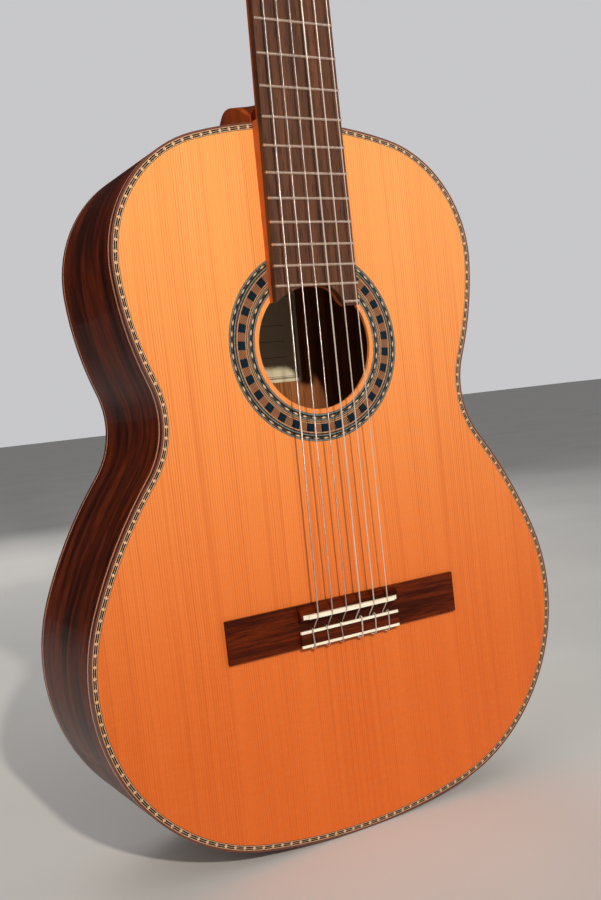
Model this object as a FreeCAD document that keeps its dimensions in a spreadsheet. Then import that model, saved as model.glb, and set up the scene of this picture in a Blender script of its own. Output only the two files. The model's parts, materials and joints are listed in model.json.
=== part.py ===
import FreeCAD, Part
import Sketcher
import math
import os

# Classical guitar, upright: +Z runs up the neck, +X is the treble side, +Y is the back.
# The origin is the tail end of the body, on the centre line, in the outer face of the soundboard.

V = FreeCAD.Vector
doc = FreeCAD.newDocument("classical_guitar")

# ---------------------------------------------------------------- driving dimensions (mm, degrees)
DIMENSIONS = {
    # strings and scale
    "scale_length": 650.0,
    "saddle_setback": 1.4,
    "nut_height": 808.0,
    "string_spread_nut": 43.0,
    "string_spread_saddle": 56.4,
    "string_rise_saddle": 11.2,
    "string_rise_nut": 26.7,
    # body outline
    "body_length": 485.3,
    "outline_offset": 1.4,
    "upper_width": 278.8,
    "waist_width": 238.6,
    "lower_width": 370.2,
    "shoulder_radius": 85.0,
    "waist_radius": 60.0,
    "lower_radius": 130.0,
    "upper_side_radius": 224.0,
    "lower_side_radius": 317.0,
    "shoulder_height": 393.3,
    "waist_height": 297.7,
    "lower_height": 135.7,
    # plates, ribs and edges
    "top_thickness": 2.5,
    "back_thickness": 2.5,
    "rib_thickness": 2.0,
    "dome_radius": 4500.0,
    "dome_apex_depth": 106.5,
    "dome_apex_height": 174.0,
    "box_depth": 110.0,
    "binding_width": 1.45,
    "binding_height": 3.5,
    "purfling_width": 3.3,
    "inlay_depth": 1.2,
    "side_line_width": 0.8,
    "side_line_height": 1.8,
    "back_binding_height": 3.0,
    "back_line_height": 1.3,
    # soundhole and rosette
    "soundhole_radius": 43.5,
    "soundhole_height": 336.1,
    "rosette_inner": 46.8,
    "rosette_outer": 65.5,
    # inside of the body
    "lining_width": 6.0,
    "lining_height": 14.0,
    "tail_block_width": 70.0,
    "tail_block_height": 18.0,
    "graft_width": 10.0,
    "head_block_width": 62.0,
    "head_block_bottom": 452.0,
    "foot_bottom": 424.0,
    "foot_front": 88.0,
    "slipper_depth": 6.5,
    "slot_core_width": 20.0,
    "bar_width": 7.0,
    "bar_depth": 16.0,
    "upper_bar_height": 392.0,
    "lower_bar_height": 281.0,
    "fan_width": 5.0,
    "fan_depth": 4.5,
    "fan_length": 215.0,
    "fan_height": 160.0,
    "fan_spacing": 24.0,
    "fan_angle": 3.5,
    "back_bar_width": 8.0,
    "back_bar_depth": 14.0,
    "back_bar_low": 110.0,
    "back_bar_middle": 250.0,
    "back_bar_high": 400.0,
    "strip_width": 14.0,
    "strip_depth": 2.0,
    "label_width": 92.0,
    "label_bottom": 316.0,
    "label_top": 386.0,
    "label_thickness": 0.3,
    # fingerboard, measured in its own tilted frame
    "board_rise": 13.6,
    "board_rise_at": 483.0,
    "board_tilt": 1.92,
    "board_thickness": 5.0,
    "board_width_nut": 52.0,
    "board_width_body": 61.0,
    "board_end_bass": 443.6,
    "board_end_arc": 49.0,
    "board_end_treble": 448.0,
    "board_crest_place": 4.0,
    "board_crest_rise": 9.6,
    "board_tongue_start": 18.5,
    "board_tongue_corner": 4.0,
    "board_tongue_arc": 15.0,
    "wedge_inset": 0.3,
    "wedge_depth": 40.0,
    "fret_crown": 1.1,
    "fret_tang_width": 0.6,
    "fret_tang_depth": 1.7,
    # neck and heel
    "neck_back_nut": -3.0,
    "neck_back_heel": 9.5,
    "neck_side_depth": 2.5,
    "shaft_overrun": 20.0,
    "heel_foot_inset": 12.0,
    "heel_end": 93.1,
    "heel_cap_thickness": 2.5,
    # head, measured in its own tilted frame
    "head_tilt": 12.5,
    "head_width": 74.0,
    "head_foot_width": 54.0,
    "head_length": 192.0,
    "head_side_margin": 14.0,
    "head_crest_margin": 26.0,
    "head_crest_inset": 10.0,
    "head_foot_arc": 30.0,
    "head_corner_arc": 20.0,
    "head_crest_arc": 60.0,
    "head_thickness": 18.0,
    "veneer_thickness": 2.5,
    "slot_inner": 7.5,
    "slot_outer": 23.5,
    "slot_bottom": 27.0,
    "slot_top": 158.0,
    "ramp_start": 11.5,
    "ramp_end": 4.0,
    "ramp_room": 10.0,
    "nut_length": 5.0,
    "nut_top": 2.3,
    "nut_fall": 1.4,
    # bridge
    "bridge_length": 184.0,
    "bridge_top": 164.2,
    "bridge_bottom": 135.8,
    "wing_thickness": 3.0,
    "block_width": 79.0,
    "ridge_height": 7.8,
    "ridge_front": 159.4,
    "ridge_rear": 154.3,
    "ridge_rear_lean": 1.0,
    "trough_height": 2.9,
    "tie_block_front": 147.0,
    "tie_block_height": 6.2,
    "tie_hole_depth": 3.7,
    "tie_hole_radius": 1.1,
    "tie_hole_step": 3.0,
    "strip_bone_width": 1.8,
    "strip_bone_depth": 1.5,
    "saddle_length": 75.5,
    "saddle_thickness": 2.8,
    "saddle_seat": 2.5,
    "saddle_crown": 10.6,
    "saddle_end_drop": 2.4,
    "saddle_end_run": 3.5,
    "saddle_end_arc": 4.0,
    # tuning machines
    "machine_pitch": 35.0,
    "machine_first": 55.0,
    "roller_radius": 5.0,
    "roller_core_radius": 3.0,
    "roller_inner_end": 1.0,
    "running_gap": 0.05,
    "plate_thickness": 1.2,
    "plate_width": 16.0,
    "plate_below": 22.0,
    "plate_above": 27.0,
    "gear_teeth": 15.0,
    "gear_pitch_radius": 6.0,
    "gear_tip_radius": 6.8,
    "gear_root_radius": 5.1,
    "gear_thickness": 3.6,
    "gear_gap_tip": 2.0,
    "gear_gap_root": 1.1,
    "gear_offset": 2.0,
    "worm_distance": 9.0,
    "worm_core_radius": 1.9,
    "worm_tip_radius": 3.4,
    "worm_thread_root": 1.0,
    "worm_thread_tip": 0.5,
    "worm_turns": 3.0,
    "shaft_radius": 1.6,
    "worm_clearance": 0.35,
    "lug_thickness": 1.8,
    "lug_width": 6.0,
    "lug_root": 0.4,
    "lug_reach": 7.2,
    "shaft_front": -6.2,
    "shaft_rear": 19.0,
    "button_start": 11.0,
    "button_length": 16.0,
    "button_width": 15.0,
    "button_depth": 9.5,
    "button_corner": 6.0,
    "button_rounding": 1.9,
    "button_collar": 1.5,
    "screw_radius": 1.3,
    "screw_offset": 3.0,
    "screw_length": 12.0,
    "screw_head_radius": 2.4,
    "screw_head_height": 1.4,
    "gear_screw_radius": 2.2,
    "gear_screw_height": 1.2,
    "cord_hole_radius": 0.8,
    "cord_hole_offset": 5.0,
}
STRING_DIAMETERS = {6: 1.10, 5: 0.90, 4: 0.74, 3: 1.02, 2: 0.82, 1: 0.71}
FRET_COUNT = 20

sheet = doc.addObject("Spreadsheet::Sheet", "dims")
for row, (alias, number) in enumerate(DIMENSIONS.items(), 1):
    sheet.set(f"A{row}", alias)
    sheet.set(f"B{row}", str(number))
    sheet.setAlias(f"B{row}", alias)
for number, diameter in STRING_DIAMETERS.items():
    row = len(DIMENSIONS) + number
    sheet.set(f"B{row}", str(diameter))
    sheet.setAlias(f"B{row}", f"string_{number}_diameter")
doc.recompute()


def value(expression):
    """The number that a cell expression gives now."""
    return float(sheet.evalExpression(expression.replace("dims.", "")))


def dim(alias):
    return float(getattr(sheet, alias))


# ---------------------------------------------------------------- Part helpers
def box(name, x, y, z):
    """A box between two expressions on each axis."""
    solid = doc.addObject("Part::Box", name)
    for size, axis, (low, high) in (("Length", "x", x), ("Width", "y", y), ("Height", "z", z)):
        solid.setExpression(size, f"({high}) - ({low})")
        solid.setExpression(f"Placement.Base.{axis}", low)
    return solid


def boolean(kind, name, **links):
    solid = doc.addObject(kind, name)
    for link, target in links.items():
        setattr(solid, link, target)
    return solid


def cut(name, base, *tools):
    """Base less each tool in turn."""
    for index, tool in enumerate(tools, 1):
        step = name if index == len(tools) else f"{name}_less_{index}"
        base = boolean("Part::Cut", step, Base=base, Tool=tool)
    return base


def common(name, *solids):
    return boolean("Part::MultiCommon", name, Shapes=list(solids))


def fuse(name, *solids):
    return boolean("Part::MultiFuse", name, Shapes=list(solids))


def group(name, *solids):
    return boolean("Part::Compound", name, Links=list(solids))


def turned(axis, degrees):
    return FreeCAD.Rotation(axis, degrees)


# ---------------------------------------------------------------- sketch and body helpers
def drive(sketch, kind, where, expression, name):
    """One sketch dimension bound to a cell expression."""
    index = sketch.addConstraint(Sketcher.Constraint(kind, *where, value(expression)))
    sketch.renameConstraint(index, name)
    sketch.setExpression(f"Constraints.{name}", expression)


def place_point(sketch, geometry, end, x, y, name):
    drive(sketch, "DistanceX", (-1, 1, geometry, end), x, name + "_x")
    drive(sketch, "DistanceY", (-1, 1, geometry, end), y, name + "_y")


def arc_between(start, end, radius):
    """An arc from start to end; a positive radius bulges to the right of the way from start to end."""
    chord = end - start
    side = V(chord.y, -chord.x, 0).normalize()
    size = abs(radius)
    sag = size - math.sqrt(size ** 2 - (chord.Length / 2) ** 2)
    middle = (start + end) / 2 + side * math.copysign(sag, radius)
    return Part.Arc(start, middle, end)


def profile(sketch, corners):
    """A closed outline; a corner is (x, y) or (x, y, radius of the edge that leads to the next one)."""
    points = [V(value(corner[0]), value(corner[1]), 0) for corner in corners]
    ends = []
    for index, corner in enumerate(corners):
        start, end = points[index], points[(index + 1) % len(points)]
        if len(corner) == 2:
            geometry = sketch.addGeometry(Part.LineSegment(start, end), False)
            ends.append((geometry, 1, 2))
        else:
            arc = arc_between(start, end, value(corner[2]))
            geometry = sketch.addGeometry(arc, False)
            shape = arc.toShape()
            forward = shape.Curve.Axis.z > 0
            ends.append((geometry, 1, 2) if forward else (geometry, 2, 1))
            drive(sketch, "Radius", (geometry,), f"abs({corner[2]})", f"arc_{index}")
    for index, (geometry, first, last) in enumerate(ends):
        following, start, _ = ends[(index + 1) % len(ends)]
        sketch.addConstraint(Sketcher.Constraint("Coincident", geometry, last, following, start))
        place_point(sketch, geometry, first, corners[index][0], corners[index][1], f"corner_{index}")


def ring(sketch, radius, x="0", y="0", name="hole"):
    """A circle of a driven radius and centre."""
    circle = Part.Circle(V(value(x), value(y), 0), V(0, 0, 1), value(radius))
    geometry = sketch.addGeometry(circle, False)
    drive(sketch, "Radius", (geometry,), radius, name + "_radius")
    place_point(sketch, geometry, 3, x, y, name)


def origin_feature(body, role):
    return next(feature for feature in body.Origin.OriginFeatures if feature.Role == role)


def sketch_on(body, role, name, offset="0"):
    """A sketch on one of the body's own planes, moved along the plane's normal."""
    sketch = body.newObject("Sketcher::SketchObject", name)
    sketch.AttachmentSupport = [(origin_feature(body, role), "")]
    sketch.MapMode = "FlatFace"
    sketch.setExpression("AttachmentOffset.Base.z", offset)
    doc.recompute()
    return sketch


def feature(body, kind, name, sketch, **settings):
    """A sketch-based feature; a text setting is a bound expression."""
    made = body.newObject(f"PartDesign::{kind}", name)
    made.Profile = sketch
    for setting, given in settings.items():
        if isinstance(given, str) and setting.startswith("Length"):
            made.setExpression(setting, given)
        else:
            setattr(made, setting, given)
    sketch.Visibility = False
    doc.recompute()
    return made


def new_body(name):
    return doc.addObject("PartDesign::Body", name)


def shrunk(name, base_volume, solid):
    """A pocket that points away from the solid removes nothing, so the volumes are compared."""
    if solid.Volume >= base_volume - 1e-6:
        raise RuntimeError(f"{name} removed nothing")


def pocket(body, name, sketch, **settings):
    before = body.Shape.Volume
    made = feature(body, "Pocket", name, sketch, **settings)
    shrunk(name, before, body.Shape)
    return made


# ---------------------------------------------------------------- body outline
OUTLINE_ARCS = ("shoulder", "upper_side", "waist", "lower_side", "lower")
CREST_MARK = 5.0


def outline_circles():
    """Centres and radii of the arcs of the treble half, from the neck to the tail."""
    shoulder = V(dim("upper_width") / 2 - dim("shoulder_radius"), dim("shoulder_height"), 0)
    waist = V(dim("waist_width") / 2 + dim("waist_radius"), dim("waist_height"), 0)
    lower = V(dim("lower_width") / 2 - dim("lower_radius"), dim("lower_height"), 0)
    waist_radius = dim("waist_radius")

    def bridging(bout, bout_radius, radius):
        """The centre of a side arc that runs from a bout into the hollow of the waist."""
        span = waist - bout
        reach, far = radius - bout_radius, radius + waist_radius
        along = (reach ** 2 - far ** 2 + span.Length ** 2) / (2 * span.Length)
        across = math.sqrt(reach ** 2 - along ** 2)
        unit = V(span).normalize()
        foot = bout + unit * along
        choices = [foot + V(-unit.y, unit.x, 0) * side * across for side in (1, -1)]
        return min(choices, key=lambda point: point.x)

    upper_side = bridging(shoulder, dim("shoulder_radius"), dim("upper_side_radius"))
    lower_side = bridging(lower, dim("lower_radius"), dim("lower_side_radius"))

    def capping(bout, bout_radius, height):
        """The radius of the arc on the centre line that closes an end of the outline."""
        rise = abs(height - bout.y)
        return (bout.x ** 2 + rise ** 2 - bout_radius ** 2) / (2 * (rise - bout_radius))

    top_radius = capping(shoulder, dim("shoulder_radius"), dim("body_length"))
    tail_radius = capping(lower, dim("lower_radius"), 0)
    return [
        (V(0, dim("body_length") - top_radius, 0), top_radius),
        (shoulder, dim("shoulder_radius")),
        (upper_side, dim("upper_side_radius")),
        (waist, waist_radius),
        (lower_side, dim("lower_side_radius")),
        (lower, dim("lower_radius")),
        (V(0, tail_radius, 0), tail_radius),
    ]


def touching_points(circles):
    """Where each arc meets the next one; the waist is the hollow arc."""
    points = []
    for pair in zip(circles, circles[1:]):
        (small, radius), (other, _) = sorted(pair, key=lambda circle: circle[1])
        toward = other - small if radius == dim("waist_radius") else small - other
        points.append(small + toward.normalize() * radius)
    return points


def draw_outline():
    """The whole body outline as one sketch of twelve tangent arcs in the plane of the soundboard.

    The outline sits a little to the treble side of the string line.
    """
    sketch = doc.addObject("Sketcher::SketchObject", "body_outline")
    sketch.Placement = FreeCAD.Placement(V(0, 0, 0), turned(V(1, 0, 0), 90))
    sketch.setExpression("Placement.Base.x", "dims.outline_offset")
    circles = outline_circles()
    joints = touching_points(circles)

    def arc(centre, radius, start, end):
        """Anticlockwise from start to end."""
        first = math.atan2(start.y - centre.y, start.x - centre.x)
        last = math.atan2(end.y - centre.y, end.x - centre.x)
        if last < first:
            last += 2 * math.pi
        return Part.ArcOfCircle(Part.Circle(centre, V(0, 0, 1), radius), first, last)

    def mirrored(point):
        return V(-point.x, point.y, 0)

    top = sketch.addGeometry(arc(*circles[0], joints[0], mirrored(joints[0])), False)
    chains = {"treble": [(top, 1)], "bass": [(top, 2)]}
    arcs = {}
    for side, chain in chains.items():
        for index, name in enumerate(OUTLINE_ARCS, 1):
            centre, radius = circles[index]
            upper, lower = joints[index - 1], joints[index]
            hollow = name == "waist"
            if side == "bass":
                centre, upper, lower = mirrored(centre), mirrored(upper), mirrored(lower)
            upper_first = (side == "bass") != hollow
            ends = (upper, lower) if upper_first else (lower, upper)
            geometry = sketch.addGeometry(arc(centre, radius, *ends), False)
            arcs[side, name] = geometry
            upper_end, lower_end = (1, 2) if upper_first else (2, 1)
            last, last_end = chain[-1]
            sketch.addConstraint(Sketcher.Constraint("Tangent", last, last_end, geometry, upper_end))
            chain.append((geometry, lower_end))
    tail = sketch.addGeometry(arc(*circles[-1], mirrored(joints[-1]), joints[-1]), False)
    for side, tail_end in (("treble", 2), ("bass", 1)):
        last, last_end = chains[side][-1]
        sketch.addConstraint(Sketcher.Constraint("Tangent", last, last_end, tail, tail_end))
    length = dim("body_length")
    half_mark = V(CREST_MARK / 2, 0, 0)
    crest = V(0, length, 0)
    mark = sketch.addGeometry(Part.LineSegment(crest - half_mark, crest + half_mark), True)
    sketch.addConstraint(Sketcher.Constraint("Symmetric", mark, 1, mark, 2, -2))
    sketch.addConstraint(Sketcher.Constraint("Tangent", top, mark))
    sketch.addConstraint(Sketcher.Constraint("Tangent", tail, -1))
    drive(sketch, "DistanceX", (mark, 1, mark, 2), f"{CREST_MARK}", "mark_length")
    drive(sketch, "DistanceY", (-1, 1, mark, 1), "dims.body_length", "length_of_body")
    across = {
        "shoulder": "dims.upper_width / 2 - dims.shoulder_radius",
        "waist": "dims.waist_width / 2 + dims.waist_radius",
        "lower": "dims.lower_width / 2 - dims.lower_radius",
    }
    for (side, name), geometry in arcs.items():
        drive(sketch, "Radius", (geometry,), f"dims.{name}_radius", f"{side}_{name}_radius")
        if name in across:
            centre_span = (-1, 1, geometry, 3) if side == "treble" else (geometry, 3, -1, 1)
            drive(sketch, "DistanceX", centre_span, across[name], f"{side}_{name}_across")
            drive(sketch, "DistanceY", (-1, 1, geometry, 3), f"dims.{name}_height", f"{side}_{name}_height")
    return sketch


outline = draw_outline()


def outline_prism(name, inset, front, back):
    """The body outline moved in by inset, as a solid between two depths."""
    source = outline
    if inset != "0":
        source = doc.addObject("Part::Offset2D", name + "_edge")
        source.Source = outline
        source.setExpression("Value", f"-({inset})")
    solid = doc.addObject("Part::Extrusion", name)
    solid.Base = source
    solid.DirMode = "Custom"
    solid.Dir = V(0, 1, 0)
    solid.Solid = True
    solid.setExpression("LengthFwd", back)
    solid.setExpression("LengthRev", f"-({front})")
    return solid


def outline_ring(name, outer, inner, front, back):
    """A band that follows the body outline between two insets."""
    return cut(name, outline_prism(name + "_outer", outer, front, back),
               outline_prism(name + "_inner", inner, front, back))


def dome(name, inward):
    """Everything in front of the domed back's outer face, moved inward."""
    ball = doc.addObject("Part::Sphere", name)
    ball.setExpression("Radius", "dims.dome_radius")
    ball.setExpression("Placement.Base.y", f"dims.dome_apex_depth - dims.dome_radius - ({inward})")
    ball.setExpression("Placement.Base.z", "dims.dome_apex_height")
    return ball


WIDE = "dims.lower_width"
DEEP = "dims.box_depth"
back_outer = dome("back_outer_face", "0")
back_inner = dome("back_inner_face", "dims.back_thickness")
back_edge = dome("back_binding_face", "dims.back_binding_height")
back_line = dome("back_line_face", "dims.back_binding_height + dims.back_line_height")
bass_half = box("bass_half", (f"-{WIDE}", "0"), ("-dims.box_depth", DEEP), ("-1", "dims.body_length + 1"))
treble_half = box("treble_half", ("0", WIDE), ("-dims.box_depth", DEEP), ("-1", "dims.body_length + 1"))


def halves(name, solid):
    """Two bookmatched halves, joined at the centre line."""
    return group(name,
                 common(name + "_bass", solid, bass_half),
                 common(name + "_treble", solid, treble_half))


# ---------------------------------------------------------------- edges of the body
def soundhole_disc(name, radius, back):
    disc = doc.addObject("Part::Cylinder", name)
    disc.setExpression("Radius", radius)
    disc.setExpression("Height", back)
    disc.Placement = FreeCAD.Placement(V(0, 0, 0), turned(V(1, 0, 0), -90))
    disc.setExpression("Placement.Base.z", "dims.soundhole_height")
    return disc


binding_top = outline_ring("binding_top", "0", "dims.binding_width", "0", "dims.binding_height")
purfling_top = outline_ring("purfling_top", "dims.binding_width", "dims.binding_width + dims.purfling_width",
                            "0", "dims.inlay_depth")
side_line_top = outline_ring("side_line_top", "0", "dims.side_line_width",
                             "dims.binding_height", "dims.binding_height + dims.side_line_height")
binding_back = cut("binding_back",
                   common("binding_back_raw",
                          outline_ring("binding_back_band", "0", "dims.binding_width",
                                       "dims.top_thickness", DEEP),
                          back_outer),
                   back_edge)
side_line_back = cut("side_line_back",
                     common("side_line_back_raw",
                            outline_ring("side_line_back_band", "0", "dims.side_line_width",
                                         "dims.top_thickness", DEEP),
                            back_edge),
                     back_line)

side_lines = group("side_lines", side_line_top, side_line_back)

# ---------------------------------------------------------------- soundboard, rosette and back
rosette = cut("rosette", soundhole_disc("rosette_disc", "dims.rosette_outer", "dims.inlay_depth"),
              soundhole_disc("rosette_eye", "dims.rosette_inner", "dims.inlay_depth"))
soundboard = halves("soundboard",
                    cut("soundboard_plate",
                        outline_prism("soundboard_blank", "dims.binding_width", "0", "dims.top_thickness"),
                        purfling_top, rosette,
                        soundhole_disc("soundhole", "dims.soundhole_radius", "dims.top_thickness")))
back_plate = halves("back_plate",
                    cut("back_plate_whole",
                        common("back_plate_blank",
                               outline_prism("back_plate_prism", "dims.binding_width", "dims.top_thickness",
                                             DEEP),
                               back_outer),
                        back_inner))

# ---------------------------------------------------------------- ribs and tail
rim = cut("rim",
          common("rim_blank",
                 outline_ring("rim_band", "0", "dims.rib_thickness", "dims.top_thickness", DEEP),
                 back_inner),
          binding_top, side_line_top, binding_back, side_line_back)
GRAFT = "dims.graft_width / 2"
CORE = "dims.slot_core_width / 2"
UPPER = "dims.head_block_bottom"
neck_slot = box("neck_slot", (f"-({CORE})", CORE), ("0", DEEP), (UPPER, "dims.body_length + 1"))
rib_bass = cut("rib_bass",
               common("rib_bass_side", rim,
                      box("bass_zone", (f"-{WIDE}", f"-({GRAFT})"), ("0", DEEP),
                          ("-1", "dims.body_length + 1"))),
               neck_slot)
rib_treble = cut("rib_treble",
                 common("rib_treble_side", rim,
                        box("treble_zone", (GRAFT, WIDE), ("0", DEEP), ("-1", "dims.body_length + 1"))),
                 neck_slot)
end_graft = common("end_graft", rim,
                   box("graft_zone", (f"-({GRAFT})", GRAFT), ("0", DEEP), ("-1", "dims.tail_block_height")))
tail_block = common("tail_block",
                    outline_prism("tail_block_prism", "dims.rib_thickness", "dims.top_thickness", DEEP),
                    box("tail_block_zone", ("-dims.tail_block_width / 2", "dims.tail_block_width / 2"),
                        ("0", DEEP), ("-1", "dims.tail_block_height")),
                    back_inner)

# ---------------------------------------------------------------- linings and braces
tail_room = box("tail_room", ("-dims.tail_block_width / 2", "dims.tail_block_width / 2"), ("0", DEEP),
                ("-1", "dims.tail_block_height"))
head_room = box("head_room", ("-dims.head_block_width / 2", "dims.head_block_width / 2"), ("0", DEEP),
                ("dims.foot_bottom", "dims.body_length + 1"))
LINING = "dims.rib_thickness + dims.lining_width"
LINING_GAP = 0.2
linings_top = cut("linings_top",
                  outline_ring("lining_top_band", "dims.rib_thickness", LINING,
                               "dims.top_thickness", "dims.top_thickness + dims.lining_height"),
                  tail_room, head_room)
linings_back = cut("linings_back",
                   common("lining_back_raw",
                          outline_ring("lining_back_band", "dims.rib_thickness", LINING,
                                       "dims.box_depth / 2", DEEP),
                          back_inner),
                   dome("lining_back_face", "dims.back_thickness + dims.lining_height"),
                   tail_room, head_room)
linings = group("linings", linings_top, linings_back)
inner_space = outline_prism("inner_space", f"{LINING} + {LINING_GAP}", "dims.top_thickness", DEEP)


def cross_bar(name, height):
    """A bar across the underside of the soundboard."""
    return common(name, inner_space,
                  box(name + "_bar", (f"-{WIDE}", WIDE),
                      ("dims.top_thickness", "dims.top_thickness + dims.bar_depth"),
                      (f"{height} - dims.bar_width / 2", f"{height} + dims.bar_width / 2")))


def fan_brace(index):
    """One strut of the fan below the soundhole; index 0 is on the centre line."""
    strut = doc.addObject("Part::Box", f"fan_strut_{index + 3}")
    strut.setExpression("Length", "dims.fan_width")
    strut.setExpression("Width", "dims.fan_depth")
    strut.setExpression("Height", "dims.fan_length")
    swing = turned(V(0, 1, 0), -index * dim("fan_angle"))
    middle = V(index * dim("fan_spacing"), dim("top_thickness"), dim("fan_height"))
    half = V(dim("fan_width") / 2, 0, dim("fan_length") / 2)
    strut.Placement = FreeCAD.Placement(middle - swing.multVec(half), swing)
    return strut


soundboard_braces = group("soundboard_braces",
                          cross_bar("upper_bar", "dims.upper_bar_height"),
                          cross_bar("lower_bar", "dims.lower_bar_height"),
                          *[fan_brace(index) for index in range(-3, 4)])

back_bar_face = dome("back_bar_face", "dims.back_thickness + dims.back_bar_depth")
back_strip_face = dome("back_strip_face", "dims.back_thickness + dims.strip_depth")
BACK_BARS = ("dims.back_bar_low", "dims.back_bar_middle", "dims.back_bar_high")


def back_bar(name, height):
    zone = box(name + "_zone", (f"-{WIDE}", WIDE), ("0", DEEP),
               (f"{height} - dims.back_bar_width / 2", f"{height} + dims.back_bar_width / 2"))
    return cut(name, common(name + "_raw", inner_space, zone, back_inner), back_bar_face)


back_braces = group("back_braces",
                    *[back_bar(f"back_bar_{index}", height) for index, height in enumerate(BACK_BARS)])


def strip_length(name, low, high):
    zone = box(name + "_zone", ("-dims.strip_width / 2", "dims.strip_width / 2"), ("0", DEEP), (low, high))
    return cut(name, common(name + "_raw", zone, back_inner), back_strip_face)


HALF_BAR = "dims.back_bar_width / 2"
back_centre_strip = group(
    "back_centre_strip",
    strip_length("strip_low", "dims.tail_block_height", f"dims.back_bar_low - {HALF_BAR}"),
    strip_length("strip_middle", f"dims.back_bar_low + {HALF_BAR}", f"dims.back_bar_middle - {HALF_BAR}"),
    strip_length("strip_high", f"dims.back_bar_middle + {HALF_BAR}", "dims.label_bottom"))
label = cut("label",
            common("label_raw",
                   box("label_zone", ("-dims.label_width / 2", "dims.label_width / 2"), ("0", DEEP),
                       ("dims.label_bottom", "dims.label_top")),
                   back_inner),
            dome("label_face", "dims.back_thickness + dims.label_thickness"))

# ---------------------------------------------------------------- tilted frames of board and head
BOARD_SLOPE = math.tan(math.radians(dim("board_tilt")))


def board_top(height):
    """Depth of the fingerboard's upper face at a height."""
    return -(dim("board_rise") + BOARD_SLOPE * (height - dim("board_rise_at")))


board_frame = FreeCAD.Placement(V(0, board_top(dim("nut_height")), dim("nut_height")),
                                turned(V(1, 0, 0), dim("board_tilt")))
head_foot = board_frame.multVec(V(0, dim("board_thickness"), dim("nut_length")))
head_frame = FreeCAD.Placement(head_foot, turned(V(1, 0, 0), -dim("head_tilt")))


def board_half_width(distance):
    """Half the fingerboard's width at a distance below the nut."""
    return (f"(dims.board_width_nut + (dims.board_width_body - dims.board_width_nut)"
            f" * ({distance}) / (dims.scale_length / 2)) / 2")


# ---------------------------------------------------------------- neck, heel and heel cap
HEEL_SECTIONS = (
    # depth, half width, height where the nose starts, height of the nose
    (4.0, 29.0, 488.0, 504.0),
    (14.0, 28.7, 494.0, 502.5),
    (28.0, 28.3, 501.0, 503.2),
    (36.0, 28.0, 502.6, 505.3),
    (45.0, 27.0, 502.0, 508.2),
    (54.0, 25.0, 499.0, 511.0),
    (66.0, 21.0, 496.0, 513.0),
    (79.0, 16.0, 493.5, 509.0),
    (dim("heel_end"), 13.0, 492.0, 504.5),
)
HEEL_FOOT = "dims.body_length - dims.heel_foot_inset"


def neck_section(body, name, height, half_width, front, back):
    """A D-shaped section of the neck at one height."""
    section = sketch_on(body, "XY_Plane", name, height)
    side = f"({front}) + dims.neck_side_depth"
    across = value(half_width)
    rise = value(back) - value(side)
    radius = (across ** 2 + rise ** 2) / (2 * rise)
    profile(section, [(f"-({half_width})", front), (half_width, front),
                      (half_width, side, f"{radius}"), (f"-({half_width})", side)])
    return section


def loft(body, name, sections):
    made = body.newObject("PartDesign::AdditiveLoft", name)
    made.Profile = sections[0]
    made.Sections = sections[1:]
    doc.recompute()
    return made


def glue_face(height):
    """Depth of the neck's face under the fingerboard, at a height."""
    return f"{board_top(value(height))} + dims.board_thickness / cos(dims.board_tilt * 1 deg)"


def heel_outline(sketch, half_width, nose_start, nose_end):
    rise = nose_end - nose_start
    radius = (half_width ** 2 + rise ** 2) / (2 * rise)
    profile(sketch, [(f"-{half_width}", HEEL_FOOT), (f"{half_width}", HEEL_FOOT),
                     (f"{half_width}", f"{nose_start}", f"{radius}"), (f"-{half_width}", f"{nose_start}")])


def build_neck():
    shaft = new_body("neck_shaft")
    head_end = "dims.nut_height + dims.shaft_overrun"
    sections = [
        neck_section(shaft, "shaft_at_body", HEEL_FOOT, "dims.board_width_body / 2",
                     glue_face(HEEL_FOOT), "dims.neck_back_heel"),
        neck_section(shaft, "shaft_at_head", head_end, "dims.board_width_nut / 2",
                     glue_face(head_end), "dims.neck_back_nut"),
    ]
    loft(shaft, "shaft_loft", sections)
    heel = new_body("neck_heel")
    heel_sections = []
    for index, (depth, half_width, nose_start, nose_end) in enumerate(HEEL_SECTIONS):
        section = sketch_on(heel, "XZ_Plane", f"heel_section_{index}", f"-{depth}")
        heel_outline(section, half_width, nose_start, nose_end)
        heel_sections.append(section)
    loft(heel, "heel_loft", heel_sections)
    above_head = doc.addObject("Part::Box", "above_head")
    above_head.setExpression("Length", "dims.head_width * 2")
    above_head.setExpression("Width", "dims.box_depth * 2")
    above_head.setExpression("Height", "dims.head_length")
    above_head.Placement = head_frame.multiply(
        FreeCAD.Placement(V(-dim("head_width"), -dim("box_depth"), 0), FreeCAD.Rotation()))
    outside = cut("neck_outside", fuse("neck_whole", shaft, heel),
                  outline_prism("body_room", "0", "-dims.box_depth", DEEP), above_head)
    half_block = "dims.head_block_width / 2"
    block = common("neck_block",
                   outline_prism("block_prism", "dims.rib_thickness", "dims.top_thickness", DEEP),
                   fuse("block_zones",
                        box("block_zone", (f"-{half_block}", half_block), ("0", DEEP),
                            (UPPER, "dims.body_length")),
                        box("slipper_zone", (f"-{half_block}", half_block), ("0", "dims.slipper_depth"),
                            ("dims.foot_bottom", UPPER)),
                        box("foot_zone", (f"-{half_block}", half_block), ("dims.foot_front", DEEP),
                            ("dims.foot_bottom", UPPER))),
                   back_inner)
    core = box("neck_core", (f"-({CORE})", CORE), ("dims.slipper_depth", "dims.foot_front"),
               ("dims.body_length - dims.rib_thickness * 2", "dims.body_length + 1"))
    return fuse("neck", outside, block, core)


neck = build_neck()


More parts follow.
